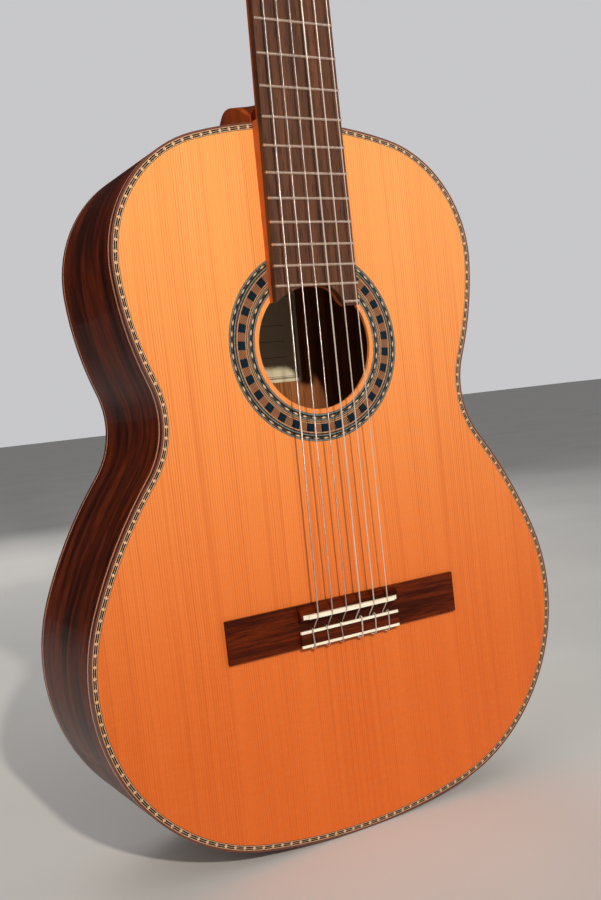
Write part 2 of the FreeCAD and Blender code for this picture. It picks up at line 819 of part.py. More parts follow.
def build_heel_cap():
    body = new_body("heel_cap_blank")
    _, half_width, nose_start, nose_end = HEEL_SECTIONS[-1]
    sketch = sketch_on(body, "XZ_Plane", "heel_cap_outline", "-dims.heel_end")
    heel_outline(sketch, half_width, nose_start, nose_end)
    feature(body, "Pad", "heel_cap_pad", sketch, Length="dims.heel_cap_thickness", Reversed=True)
    return cut("heel_cap", body, outline_prism("cap_room", "0", "-dims.box_depth", DEEP))


heel_cap = build_heel_cap()


# ---------------------------------------------------------------- fingerboard, wedge and frets
def board_plan(sketch, inset):
    """The fingerboard in plan, with the hollow end over the soundhole and its treble tongue."""
    half_nut = f"dims.board_width_nut / 2 - ({inset})"
    bass_end = f"-dims.board_end_bass + ({inset})"
    treble_end = f"-dims.board_end_treble + ({inset})"
    half_bass = f"{board_half_width('dims.board_end_bass')} - ({inset})"
    half_treble = f"{board_half_width('dims.board_end_treble')} - ({inset})"
    tongue = f"dims.board_tongue_start + ({inset})"
    profile(sketch, [
        (f"-({half_nut})", "0"),
        (f"-({half_bass})", bass_end, "-dims.board_end_arc"),
        ("dims.board_crest_place", "-dims.board_end_bass + dims.board_crest_rise", "-dims.board_tongue_arc"),
        (tongue, f"{treble_end} + dims.board_tongue_corner"),
        (f"{tongue} + dims.board_tongue_corner", treble_end),
        (half_treble, treble_end),
        (half_nut, "0"),
    ])


def build_fingerboard_blank():
    body = new_body("fingerboard_blank")
    sketch = sketch_on(body, "XZ_Plane", "fingerboard_plan")
    board_plan(sketch, "0")
    feature(body, "Pad", "fingerboard_pad", sketch, Length="dims.board_thickness", Reversed=True)
    body.Placement = board_frame
    return body


def fret_distance(number):
    return f"dims.scale_length * (1 - 2 ^ (-{number} / 12))"


def fret(number):
    """A half-round crown with a tang below it; the last fret is only on the treble tongue."""
    distance = fret_distance(number)
    half = board_half_width(distance)
    last = number == FRET_COUNT
    start = "dims.board_tongue_start + dims.fret_tang_width" if last else f"-({half})"
    crown = doc.addObject("Part::Cylinder", f"fret_crown_{number}")
    crown.setExpression("Radius", "dims.fret_crown")
    crown.setExpression("Height", f"({half}) - ({start})")
    crown.Angle = 180
    along = FreeCAD.Rotation(V(0, 0, 1), V(0, -1, 0), V(1, 0, 0), "ZXY")
    spot = FreeCAD.Placement(V(value(start), 0, -value(distance)), along)
    crown.Placement = board_frame.multiply(spot)
    tang = doc.addObject("Part::Box", f"fret_tang_{number}")
    tang.setExpression("Length", f"({half}) - ({start})")
    tang.setExpression("Width", "dims.fret_tang_depth")
    tang.setExpression("Height", "dims.fret_tang_width")
    corner = V(value(start), 0, -value(distance) - dim("fret_tang_width") / 2)
    tang.Placement = board_frame.multiply(FreeCAD.Placement(corner, FreeCAD.Rotation()))
    return fuse(f"fret_{number}", crown, tang), tang


fret_pieces = [fret(number) for number in range(1, FRET_COUNT + 1)]
frets = group("frets", *[piece for piece, _ in fret_pieces])
fingerboard = cut("fingerboard", build_fingerboard_blank(),
                  group("fret_slots", *[tang for _, tang in fret_pieces]))


def build_wedge():
    """The riser that fills the space between the soundboard and the raised fingerboard."""
    body = new_body("wedge_blank")
    sketch = sketch_on(body, "XZ_Plane", "wedge_plan")
    board_plan(sketch, "dims.wedge_inset")
    feature(body, "Pad", "wedge_pad", sketch, Length="dims.wedge_depth", Reversed=True)
    under_board = FreeCAD.Placement(V(0, dim("board_thickness"), 0), FreeCAD.Rotation())
    body.Placement = board_frame.multiply(under_board)
    return common("fingerboard_wedge", body,
                  outline_prism("wedge_room", "0", "-dims.box_depth", "0"))


fingerboard_wedge = build_wedge()

# ---------------------------------------------------------------- string routes
SIDE = {number: -1 if number > 3 else 1 for number in STRING_DIAMETERS}
MACHINE = {6: 0, 5: 1, 4: 2, 1: 0, 2: 1, 3: 2}
WINDING_PLACE = {0: 18.0, 1: 15.0, 2: 17.5}
BEND = 1.5
TIGHT_BEND = 1.47
TAIL_BEND = 1.2
LOOP_SHARE = 0.49
NUT_BEND, SADDLE_BEND = 6.0, 3.0
TIE_ENTRY, LOOP_GAP, TAIL_GAP = 0.8, 0.9, 0.4
TAIL_LEAN = 0.8


def spread_at(number, spread):
    """Place of a string across the neck; string 6 is the bass one at -X."""
    return (3.5 - number) * dim(spread) / 5


def string_points(number):
    """The route from the roller to the tail of the tie, as corners with their bend radii."""
    half = dim(f"string_{number}_diameter") / 2
    side = SIDE[number]
    height = dim("machine_first") + MACHINE[number] * dim("machine_pitch")
    front = dim("head_thickness") / 2 - dim("roller_radius") - half - dim("running_gap")
    roller = head_frame.multVec(V(side * WINDING_PLACE[MACHINE[number]], front, height))
    over_nut = V(spread_at(number, "string_spread_nut"), -dim("string_rise_nut"),
                 dim("nut_height") + dim("nut_length") / 2)
    across = spread_at(number, "string_spread_saddle")
    saddle_height = dim("nut_height") - dim("scale_length") - dim("saddle_setback")
    over_saddle = V(across, -dim("string_rise_saddle"), saddle_height)
    hole = -dim("tie_hole_depth")
    step = across + side * dim("tie_hole_step")
    above = -(dim("tie_block_height") + half + 2 * dim("running_gap"))
    around = (hole - above) * LOOP_SHARE
    entry = dim("tie_block_front") + TIE_ENTRY
    front_loop = dim("tie_block_front") + half + LOOP_GAP
    rear_loop = dim("bridge_bottom") - BEND - TAIL_GAP
    return [
        (roller, 0),
        (over_nut, NUT_BEND),
        (over_saddle, SADDLE_BEND),
        (V(across, hole, entry), BEND),
        (V(across, hole, rear_loop), TIGHT_BEND),
        (V(step, hole, rear_loop), TIGHT_BEND),
        (V(step, hole, front_loop), around),
        (V(step, above, front_loop), around),
        (V(step - side * TAIL_LEAN, above, rear_loop + TAIL_LEAN), TAIL_BEND),
        (V(step - side * TAIL_LEAN, hole + TAIL_LEAN, rear_loop + TAIL_GAP), 0),
    ]


def rounded_wire(points):
    """Straight runs joined by tangent arcs."""
    edges = []
    here = points[0][0]
    for (before, _), (corner, radius), (after, _) in zip(points, points[1:], points[2:]):
        back = (before - corner).normalize()
        ahead = (after - corner).normalize()
        half_turn = (math.pi - back.getAngle(ahead)) / 2
        reach = radius * math.tan(half_turn)
        start = corner + back * reach
        end = corner + ahead * reach
        inward = (back + ahead).normalize()
        middle = corner + inward * (radius / math.cos(half_turn) - radius)
        if (start - here).Length > 1e-6:
            edges.append(Part.LineSegment(here, start).toShape())
        edges.append(Part.Arc(start, middle, end).toShape())
        here = end
    edges.append(Part.LineSegment(here, points[-1][0]).toShape())
    return Part.Wire(edges)


def string_route(number):
    """The centre line of one string, with its own bends."""
    route = doc.addObject("Part::Feature", f"string_route_{number}")
    route.Shape = rounded_wire(string_points(number))
    return route


def swept_string(name, number, route, extra):
    """A round section swept along a route; extra widens it to make a clearance."""
    start = route.Shape.Edges[0]
    section = doc.addObject("Part::Circle", name + "_section")
    section.setExpression("Radius", f"dims.string_{number}_diameter / 2 + {extra}")
    along = start.tangentAt(start.FirstParameter)
    section.Placement = FreeCAD.Placement(start.firstVertex().Point, FreeCAD.Rotation(V(0, 0, 1), along))
    sweep = doc.addObject("Part::Sweep", name)
    sweep.Sections = [section]
    sweep.Spine = (route, [f"Edge{index + 1}" for index in range(len(route.Shape.Edges))])
    sweep.Solid = True
    sweep.Frenet = False
    return sweep


routes = {number: string_route(number) for number in STRING_DIAMETERS}
strings = {number: swept_string(f"string_{number}", number, routes[number], "0") for number in routes}
clearances = {number: swept_string(f"string_room_{number}", number, routes[number], "dims.running_gap / 2")
              for number in routes}


# ---------------------------------------------------------------- nut, saddle, bridge and its bone strips
def build_nut():
    body = new_body("nut_blank")
    sketch = sketch_on(body, "YZ_Plane", "nut_side")
    profile(sketch, [
        ("dims.board_thickness", "0"),
        ("dims.board_thickness", "dims.nut_length"),
        ("-dims.nut_top + dims.nut_fall", "dims.nut_length", "-dims.nut_length"),
        ("-dims.nut_top", "dims.nut_length / 2"),
        ("-dims.nut_top", "0"),
    ])
    feature(body, "Pad", "nut_pad", sketch, Length="dims.board_width_nut", Midplane=True)
    body.Placement = board_frame
    return cut("nut", body, *[clearances[number] for number in sorted(clearances)])


nut = build_nut()


STRIP_SEATS = {
    "front": ("dims.tie_block_front - dims.strip_bone_width", "dims.tie_block_front"),
    "rear": ("dims.bridge_bottom", "dims.bridge_bottom + dims.strip_bone_width"),
}


def build_bridge():
    body = new_body("bridge_blank")
    base = sketch_on(body, "XZ_Plane", "bridge_base_plan")
    half = "dims.bridge_length / 2"
    profile(base, [(f"-{half}", "dims.bridge_bottom"), (half, "dims.bridge_bottom"),
                   (half, "dims.bridge_top"), (f"-{half}", "dims.bridge_top")])
    feature(body, "Pad", "bridge_wings", base, Length="dims.wing_thickness")
    side = sketch_on(body, "YZ_Plane", "bridge_block_side")
    profile(side, [
        ("0", "dims.bridge_bottom"),
        ("-dims.tie_block_height", "dims.bridge_bottom"),
        ("-dims.tie_block_height", "dims.tie_block_front"),
        ("-dims.trough_height", "dims.tie_block_front"),
        ("-dims.trough_height", "dims.ridge_rear - dims.ridge_rear_lean"),
        ("-dims.ridge_height", "dims.ridge_rear"),
        ("-dims.ridge_height", "dims.ridge_front"),
        ("-dims.wing_thickness", "dims.bridge_top"),
        ("0", "dims.bridge_top"),
    ])
    feature(body, "Pad", "bridge_block", side, Length="dims.block_width", Midplane=True)
    slot = sketch_on(body, "YZ_Plane", "saddle_slot_side")
    middle = "dims.nut_height - dims.scale_length - dims.saddle_setback"
    profile(slot, [
        ("-dims.saddle_seat", f"{middle} - dims.saddle_thickness / 2"),
        ("-dims.saddle_seat", f"{middle} + dims.saddle_thickness / 2"),
        ("-dims.ridge_height - 1", f"{middle} + dims.saddle_thickness / 2"),
        ("-dims.ridge_height - 1", f"{middle} - dims.saddle_thickness / 2"),
    ])
    pocket(body, "saddle_slot", slot, Length="dims.saddle_length", Midplane=True)
    for name, (low, high) in STRIP_SEATS.items():
        step = sketch_on(body, "YZ_Plane", f"{name}_strip_side")
        profile(step, [
            ("-dims.tie_block_height + dims.strip_bone_depth", low),
            ("-dims.tie_block_height + dims.strip_bone_depth", high),
            ("-dims.tie_block_height - 1", high),
            ("-dims.tie_block_height - 1", low),
        ])
        pocket(body, f"{name}_strip_seat", step, Length="dims.block_width + 1", Midplane=True)
    holes = sketch_on(body, "XY_Plane", "tie_hole_plan", "dims.tie_block_front")
    for number in STRING_DIAMETERS:
        across = f"(3.5 - {number}) * dims.string_spread_saddle / 5"
        ring(holes, "dims.tie_hole_radius", across, "-dims.tie_hole_depth", f"first_{number}")
        ring(holes, "dims.tie_hole_radius", f"{across} + {SIDE[number]} * dims.tie_hole_step",
             "-dims.tie_hole_depth", f"second_{number}")
    pocket(body, "tie_holes", holes, Length="dims.tie_block_front - dims.bridge_bottom + 1")
    body.Label = "bridge"
    return body


bridge = build_bridge()


def bone_strip(name, low, high):
    half = "dims.block_width / 2"
    return box(name, (f"-{half}", half),
               ("-dims.tie_block_height", "-dims.tie_block_height + dims.strip_bone_depth"), (low, high))


tie_strips = group("tie_strips",
                   *[bone_strip(f"tie_strip_{name}", *seat) for name, seat in STRIP_SEATS.items()])


def build_saddle():
    """A bone plate with a rounded, slightly crowned upper edge."""
    body = new_body("saddle_blank")
    plan = sketch_on(body, "XY_Plane", "saddle_front",
                     "dims.nut_height - dims.scale_length - dims.saddle_setback - dims.saddle_thickness / 2")
    half = "dims.saddle_length / 2"
    shoulder = "-dims.saddle_crown + dims.saddle_end_drop"
    profile(plan, [
        (f"-{half}", "-dims.saddle_seat"),
        (f"-{half}", shoulder, "-dims.saddle_end_arc"),
        (f"-{half} + dims.saddle_end_run", "-dims.saddle_crown"),
        (f"{half} - dims.saddle_end_run", "-dims.saddle_crown", "-dims.saddle_end_arc"),
        (half, shoulder),
        (half, "-dims.saddle_seat"),
    ])
    feature(body, "Pad", "saddle_pad", plan, Length="dims.saddle_thickness")
    return cut("saddle", body, *[clearances[number] for number in sorted(clearances)])


saddle = build_saddle()


# ---------------------------------------------------------------- head
def head_plan(sketch):
    """Head outline in its own frame: foot at the nut, crest at the far end."""
    half, foot = "dims.head_width / 2", "dims.head_foot_width / 2"
    shoulder, crest = "dims.slot_top + dims.head_side_margin", "dims.slot_top + dims.head_crest_margin"
    corner = f"{half} - dims.head_crest_inset"
    profile(sketch, [
        (f"-{foot}", "0"),
        (foot, "0", "dims.head_foot_arc"),
        (half, "dims.slot_bottom"),
        (half, shoulder, "-dims.head_corner_arc"),
        (corner, crest, "dims.head_crest_arc"),
        ("0", "dims.head_length", "dims.head_crest_arc"),
        (f"-({corner})", crest, "-dims.head_corner_arc"),
        (f"-{half}", shoulder),
        (f"-{half}", "dims.slot_bottom", "dims.head_foot_arc"),
    ])


def slot_plan(sketch, side):
    """One long slot with rounded ends."""
    inner, outer = f"{side} * dims.slot_inner", f"{side} * dims.slot_outer"
    left, right = (inner, outer) if side > 0 else (outer, inner)
    radius = "(dims.slot_outer - dims.slot_inner) / 2"
    low, high = f"dims.slot_bottom + {radius}", f"dims.slot_top - {radius}"
    middle = f"({inner} + {outer}) / 2"
    profile(sketch, [
        (left, low, radius), (middle, "dims.slot_bottom", radius), (right, low),
        (right, high, radius), (middle, "dims.slot_top", radius), (left, high),
    ])


def cut_slots(body, depth):
    """The two string slots, each with a ramp at the nut end."""
    for side, name in ((-1, "bass"), (1, "treble")):
        plan = sketch_on(body, "XZ_Plane", f"{name}_slot_plan", "dims.veneer_thickness")
        slot_plan(plan, side)
        pocket(body, f"{name}_slot", plan, Length=depth)
        ramp = sketch_on(body, "YZ_Plane", f"{name}_ramp_side", f"{side} * dims.slot_inner")
        profile(ramp, [
            ("-dims.veneer_thickness - 1", "dims.ramp_start"),
            ("dims.head_thickness / 2", "dims.slot_bottom + dims.ramp_end"),
            ("dims.head_thickness / 2", "dims.slot_bottom + dims.ramp_room"),
            ("-dims.veneer_thickness - 1", "dims.slot_bottom + dims.ramp_room"),
        ])
        pocket(body, f"{name}_ramp", ramp, Length="dims.slot_outer - dims.slot_inner", Reversed=side > 0)


def build_headstock():
    body = new_body("headstock")
    plan = sketch_on(body, "XZ_Plane", "head_plan")
    head_plan(plan)
    feature(body, "Pad", "head_pad", plan, Length="dims.head_thickness", Reversed=True)
    cut_slots(body, "dims.head_thickness + dims.veneer_thickness + 1")
    bores = sketch_on(body, "YZ_Plane", "roller_bores")
    for machine in range(3):
        ring(bores, "dims.roller_radius + dims.running_gap", "dims.head_thickness / 2",
             f"dims.machine_first + {machine} * dims.machine_pitch", f"bore_{machine}")
    pocket(body, "roller_bore_pocket", bores, Length="dims.head_width + 1", Midplane=True)
    for side, name in ((-1, "bass"), (1, "treble")):
        pilots = sketch_on(body, "YZ_Plane", f"{name}_pilot_holes", f"{side} * dims.head_width / 2")
        for index in range(4):
            ring(pilots, "dims.screw_radius", "dims.head_thickness / 2", screw_height(index),
                 f"pilot_{index}")
        pocket(body, f"{name}_pilots", pilots, Length="dims.screw_length - dims.plate_thickness",
               Reversed=side < 0)
    body.Placement = head_frame
    return body


def screw_height(index):
    """Height of a plate screw in the head's frame: below, between and above the three machines."""
    return f"dims.machine_first + ({index} - 0.5) * dims.machine_pitch + dims.screw_offset"


def build_veneer():
    body = new_body("head_veneer")
    plan = sketch_on(body, "XZ_Plane", "veneer_plan")
    head_plan(plan)
    feature(body, "Pad", "veneer_pad", plan, Length="dims.veneer_thickness")
    cut_slots(body, "dims.veneer_thickness + 1")
    body.Placement = head_frame
    return body


headstock = build_headstock()
head_veneer = build_veneer()

# ---------------------------------------------------------------- tuning machines
PLATE_OUTER = "dims.head_width / 2 + dims.plate_thickness"
GEAR_MIDDLE = f"{PLATE_OUTER} + dims.gear_offset + dims.gear_thickness / 2"
PITCH = "(2 * pi * dims.gear_pitch_radius / dims.gear_teeth)"
GEAR_OVERCUT = 0.4
SLANT_ALLOWANCE = 1.6
THREAD_OVERLAP = 0.3
MESH_ANGLE = f"({PITCH} - dims.worm_thread_root) / 2 / dims.gear_pitch_radius * 180 / pi"


def machine_spot(machine, across, beyond=0.0):
    """A point in the head's frame on a roller's axis line, or moved towards the worm."""
    height = dim("machine_first") + machine * dim("machine_pitch") + beyond
    return V(across, dim("head_thickness") / 2, height)


def roller_turn(side):
    """Local Z points outwards along the roller, local X towards the worm."""
    return FreeCAD.Rotation(V(0, 0, 1), V(0, -side, 0), V(side, 0, 0), "ZXY")


WORM_TURN = FreeCAD.Rotation(V(0, 0, -1), V(-1, 0, 0), V(0, 1, 0), "ZXY")


def build_plate(side, name):
    """A side plate with two bored lugs for each worm shaft."""
    body = new_body(f"tuner_plate_{name}")
    start = f"{side} * dims.head_width / 2"
    outward = side < 0
    plan = sketch_on(body, "YZ_Plane", f"{name}_plate_side", start)
    low = "dims.machine_first - dims.plate_below"
    high = "dims.machine_first + 2 * dims.machine_pitch + dims.plate_above"
    near = "(dims.head_thickness - dims.plate_width) / 2"
    far = "(dims.head_thickness + dims.plate_width) / 2"
    corner = "dims.plate_width / 4"
    profile(plan, [
        (near, f"{low} + {corner}", corner), (f"{near} + {corner}", low),
        (f"{far} - {corner}", low, corner), (far, f"{low} + {corner}"),
        (far, f"{high} - {corner}", corner), (f"{far} - {corner}", high),
        (f"{near} + {corner}", high, corner), (near, f"{high} - {corner}"),
    ])
    feature(body, "Pad", f"{name}_plate_pad", plan, Length="dims.plate_thickness", Reversed=outward)
    lugs = sketch_on(body, "YZ_Plane", f"{name}_lug_side", f"{side} * ({PLATE_OUTER} - dims.lug_root)")
    middle = "dims.head_thickness / 2"
    half_worm = f"dims.worm_turns * {PITCH} / 2 + dims.worm_clearance"
    for machine in range(3):
        centre = f"dims.machine_first + {machine} * dims.machine_pitch + dims.worm_distance"
        for end, sign in (("front", -1), ("rear", 1)):
            inner = f"{middle} + {sign} * ({half_worm})"
            outer = f"{middle} + {sign} * ({half_worm} + dims.lug_thickness)"
            first, second = (outer, inner) if sign < 0 else (inner, outer)
            rectangle(lugs, f"{end}_lug_{machine}", first, second,
                      f"{centre} - dims.lug_width / 2", f"{centre} + dims.lug_width / 2")
    feature(body, "Pad", f"{name}_lugs", lugs, Length="dims.lug_reach", Reversed=outward)
    bores = sketch_on(body, "YZ_Plane", f"{name}_plate_bores", start)
    for machine in range(3):
        ring(bores, "dims.roller_core_radius + dims.running_gap", middle,
             f"dims.machine_first + {machine} * dims.machine_pitch", f"core_{machine}")
    for index in range(4):
        ring(bores, "dims.screw_radius", middle, screw_height(index), f"screw_{index}")
    pocket(body, f"{name}_plate_bore", bores, Length="dims.plate_thickness + 0.1", Reversed=side > 0)
    shafts = sketch_on(body, "XZ_Plane", f"{name}_shaft_bores", "-dims.head_thickness")
    for machine in range(3):
        ring(shafts, "dims.shaft_radius + dims.running_gap", f"{side} * ({GEAR_MIDDLE})",
             f"dims.machine_first + {machine} * dims.machine_pitch + dims.worm_distance", f"shaft_{machine}")
    pocket(body, f"{name}_shaft_bore", shafts, Length="dims.head_thickness * 2", Midplane=True)
    body.Placement = head_frame
    return body


def rectangle(sketch, name, left, right, low, high):
    """A driven rectangle inside a sketch that holds several."""
    corners = [(left, low), (right, low), (right, high), (left, high)]
    points = [V(value(x), value(y), 0) for x, y in corners]
    lines = [sketch.addGeometry(Part.LineSegment(points[i], points[(i + 1) % 4]), False) for i in range(4)]
    for index, line in enumerate(lines):
        sketch.addConstraint(Sketcher.Constraint("Coincident", line, 2, lines[(index + 1) % 4], 1))
        place_point(sketch, line, 1, *corners[index], f"{name}_{index}")


tuner_plates = {side: build_plate(side, name) for side, name in ((-1, "bass"), (1, "treble"))}


def plate_screw(side, index):
    """A round-head wood screw that holds a plate to the head."""
    placed = []
    for part, radius, length, start in (
            ("shank", "dims.screw_radius", "dims.screw_length", "-dims.screw_length"),
            ("head", "dims.screw_head_radius", "dims.screw_head_height", "0")):
        name = f"screw_{part}_{'bass' if side < 0 else 'treble'}_{index}"
        piece = doc.addObject("Part::Cylinder", name)
        piece.setExpression("Radius", radius)
        piece.setExpression("Height", length)
        across = side * (value(PLATE_OUTER) + value(start))
        spot = V(across, dim("head_thickness") / 2, value(screw_height(index)))
        piece.Placement = head_frame.multiply(FreeCAD.Placement(spot, roller_turn(side)))
        placed.append(piece)
    return fuse(f"plate_screw_{'bass' if side < 0 else 'treble'}_{index}", *placed)


tuner_plate_screws = group("tuner_plate_screws",
                           *[plate_screw(side, index) for side in (-1, 1) for index in range(4)])


def build_roller(number, side, machine):
    """A string roller on its core, which carries the gear outside the plate."""
    body = new_body(f"tuner_roller_{number}")
    inner = sketch_on(body, "XY_Plane", f"roller_{number}_end", "dims.roller_inner_end")
    ring(inner, "dims.roller_radius")
    feature(body, "Pad", f"roller_{number}_barrel", inner,
            Length="dims.head_width / 2 - dims.running_gap - dims.roller_inner_end")
    core = sketch_on(body, "XY_Plane", f"roller_{number}_core_end", "dims.head_width / 2 - 1")
    ring(core, "dims.roller_core_radius")
    feature(body, "Pad", f"roller_{number}_core", core,
            Length=f"{GEAR_MIDDLE} + dims.gear_thickness / 2 - dims.head_width / 2 + 1")
    hole = sketch_on(body, "YZ_Plane", f"roller_{number}_hole_plan")
    ring(hole, "dims.cord_hole_radius", "0", f"{WINDING_PLACE[machine]} - dims.cord_hole_offset")
    pocket(body, f"roller_{number}_hole", hole, Length="dims.roller_radius * 4", Midplane=True)
    body.Placement = head_frame.multiply(FreeCAD.Placement(machine_spot(machine, 0), roller_turn(side)))
    return body


def build_gear(number, side, machine):
    """A flat wheel whose slanted gaps match the worm's lead, with its retaining screw."""
    body = new_body(f"gear_wheel_{number}")
    disc = sketch_on(body, "XY_Plane", f"gear_{number}_disc", f"{GEAR_MIDDLE} - dims.gear_thickness / 2")
    ring(disc, "dims.gear_tip_radius", name="rim")
    ring(disc, "dims.roller_core_radius", name="bore")
    feature(body, "Pad", f"gear_{number}_blank", disc, Length="dims.gear_thickness")
    gap = sketch_on(body, "XY_Plane", f"gear_{number}_gap", GEAR_MIDDLE)
    profile(gap, [
        ("dims.gear_root_radius", "-dims.gear_gap_root / 2"),
        (f"dims.gear_tip_radius + {GEAR_OVERCUT}", "-dims.gear_gap_tip / 2"),
        (f"dims.gear_tip_radius + {GEAR_OVERCUT}", "dims.gear_gap_tip / 2"),
        ("dims.gear_root_radius", "dims.gear_gap_root / 2"),
    ])
    slant = value(f"{PITCH} / (pi * (dims.worm_core_radius + dims.worm_tip_radius))")
    first = pocket(body, f"gear_{number}_first_gap", gap,
                   Length=f"dims.gear_thickness * {SLANT_ALLOWANCE}",
                   Midplane=True, UseCustomVector=True, Direction=V(0, slant, 1))
    teeth = body.newObject("PartDesign::PolarPattern", f"gear_{number}_gaps")
    teeth.Originals = [first]
    teeth.Axis = (origin_feature(body, "Z_Axis"), [""])
    teeth.Angle = 360
    teeth.Occurrences = int(dim("gear_teeth"))
    body.Tip = teeth
    doc.recompute()
    screw = doc.addObject("Part::Cylinder", f"gear_screw_{number}")
    screw.setExpression("Radius", "dims.gear_screw_radius")
    screw.setExpression("Height", "dims.gear_screw_height")
    turn = roller_turn(side)
    in_mesh = turn.multiply(turned(V(0, 0, 1), side * value(MESH_ANGLE)))
    body.Placement = head_frame.multiply(FreeCAD.Placement(machine_spot(machine, 0), in_mesh))
    across = side * value(f"{GEAR_MIDDLE} + dims.gear_thickness / 2")
    screw.Placement = head_frame.multiply(FreeCAD.Placement(machine_spot(machine, across), turn))
    return group(f"tuner_gear_{number}", body, screw)


def build_worm(number, side, machine):
    """A single-start worm on its shaft; the shaft carries the button."""
    body = new_body(f"tuner_worm_{number}")
    end = sketch_on(body, "XY_Plane", f"worm_{number}_shaft_end", "dims.shaft_front")
    ring(end, "dims.shaft_radius")
    feature(body, "Pad", f"worm_{number}_shaft", end, Length="dims.shaft_rear - dims.shaft_front")
    core = sketch_on(body, "XY_Plane", f"worm_{number}_core_end")
    ring(core, "dims.worm_core_radius")
    feature(body, "Pad", f"worm_{number}_core", core, Length=f"dims.worm_turns * {PITCH}", Midplane=True)
    thread = sketch_on(body, "XZ_Plane", f"worm_{number}_thread_section")
    middle = f"-dims.worm_turns * {PITCH} / 2 + dims.worm_thread_root / 2"
    profile(thread, [
        (f"dims.worm_core_radius - {THREAD_OVERLAP}", f"{middle} - dims.worm_thread_root / 2"),
        ("dims.worm_tip_radius", f"{middle} - dims.worm_thread_tip / 2"),
        ("dims.worm_tip_radius", f"{middle} + dims.worm_thread_tip / 2"),
        (f"dims.worm_core_radius - {THREAD_OVERLAP}", f"{middle} + dims.worm_thread_root / 2"),
    ])
    helix = body.newObject("PartDesign::AdditiveHelix", f"worm_{number}_thread")
    helix.Profile = thread
    helix.ReferenceAxis = (origin_feature(body, "Z_Axis"), [""])
    helix.Mode = 0
    helix.setExpression("Pitch", PITCH)
    helix.setExpression("Height", f"dims.worm_turns * {PITCH} - dims.worm_thread_root")
    doc.recompute()
    across = side * value(GEAR_MIDDLE)
    spot = machine_spot(machine, across, dim("worm_distance"))
    body.Placement = head_frame.multiply(FreeCAD.Placement(spot, WORM_TURN))
    return body


def build_button(number, side, machine):
    """An oval button fixed on the rear end of the worm shaft."""
    body = new_body(f"tuner_button_{number}")
    collar_start = "dims.button_start - dims.button_collar"
    collar = sketch_on(body, "XY_Plane", f"button_{number}_collar_end", collar_start)
    ring(collar, "dims.button_depth / 4")
    feature(body, "Pad", f"button_{number}_collar", collar, Length="dims.button_length / 2")
    half_width, low = "dims.button_width / 2", "dims.button_start"
    high = "dims.button_start + dims.button_length"
    corner = "dims.button_corner"
    side_view = sketch_on(body, "XZ_Plane", f"button_{number}_side")
    profile(side_view, [
        (f"-({half_width} - {corner})", low), (f"{half_width} - {corner}", low, corner),
        (half_width, f"{low} + {corner}"), (half_width, f"{high} - {corner}", corner),
        (f"{half_width} - {corner}", high), (f"-({half_width} - {corner})", high, corner),
        (f"-{half_width}", f"{high} - {corner}"), (f"-{half_width}", f"{low} + {corner}", corner),
    ])
    paddle = feature(body, "Pad", f"button_{number}_paddle", side_view, Length="dims.button_depth",
                     Midplane=True)
    rim_edges = [f"Edge{index + 1}" for index, edge in enumerate(paddle.Shape.Edges)
                 if abs(abs(edge.CenterOfMass.y) - dim("button_depth") / 2) < 0.01]
    rounding = body.newObject("PartDesign::Fillet", f"button_{number}_rounding")
    rounding.Base = (paddle, rim_edges)
    rounding.setExpression("Radius", "dims.button_rounding")
    doc.recompute()
    bore = sketch_on(body, "XY_Plane", f"button_{number}_bore_end", collar_start)
    ring(bore, "dims.shaft_radius")
    pocket(body, f"button_{number}_bore", bore, Reversed=True,
           Length="dims.shaft_rear - dims.button_start + dims.button_collar")
    across = side * value(GEAR_MIDDLE)
    spot = machine_spot(machine, across, dim("worm_distance"))
    body.Placement = head_frame.multiply(FreeCAD.Placement(spot, WORM_TURN))
    return body


machine_parts = []
for number, machine in MACHINE.items():
    for build in (build_roller, build_gear, build_worm, build_button):
        machine_parts.append(build(number, SIDE[number], machine))

# ---------------------------------------------------------------- check and write
NODES = [
    soundboard, rosette, purfling_top, binding_top, side_lines, rib_bass, rib_treble,
    binding_back, back_plate, end_graft, tail_block, linings, soundboard_braces,
    back_braces, back_centre_strip, label, neck, heel_cap, fingerboard_wedge, fingerboard, frets, nut,
    headstock, head_veneer, bridge, saddle, tie_strips, *strings.values(), *tuner_plates.values(),
    tuner_plate_screws, *machine_parts,
]


def check():
    """Every object must have recomputed, and every sub-part must be a sound solid."""
    doc.recompute()
    failed = [item.Name for item in doc.Objects if {"Invalid", "Error"} & set(item.State)]
    if failed:
        raise RuntimeError(f"objects that failed: {failed}")
    for node in NODES:
        if node.Shape.isNull() or not node.Shape.isValid() or not node.Shape.Solids:
            raise RuntimeError(f"{node.Label} has no sound shape")


check()
os.makedirs("parts", exist_ok=True)
for node in NODES:
    node.Shape.exportStep(f"parts/{node.Label}.step")
    print(f"{node.Label:24s} {len(node.Shape.Solids):3d} solids {node.Shape.Volume:12.1f} mm3")
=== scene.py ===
import json
import math

import bpy
from mathutils import Euler, Matrix, Vector


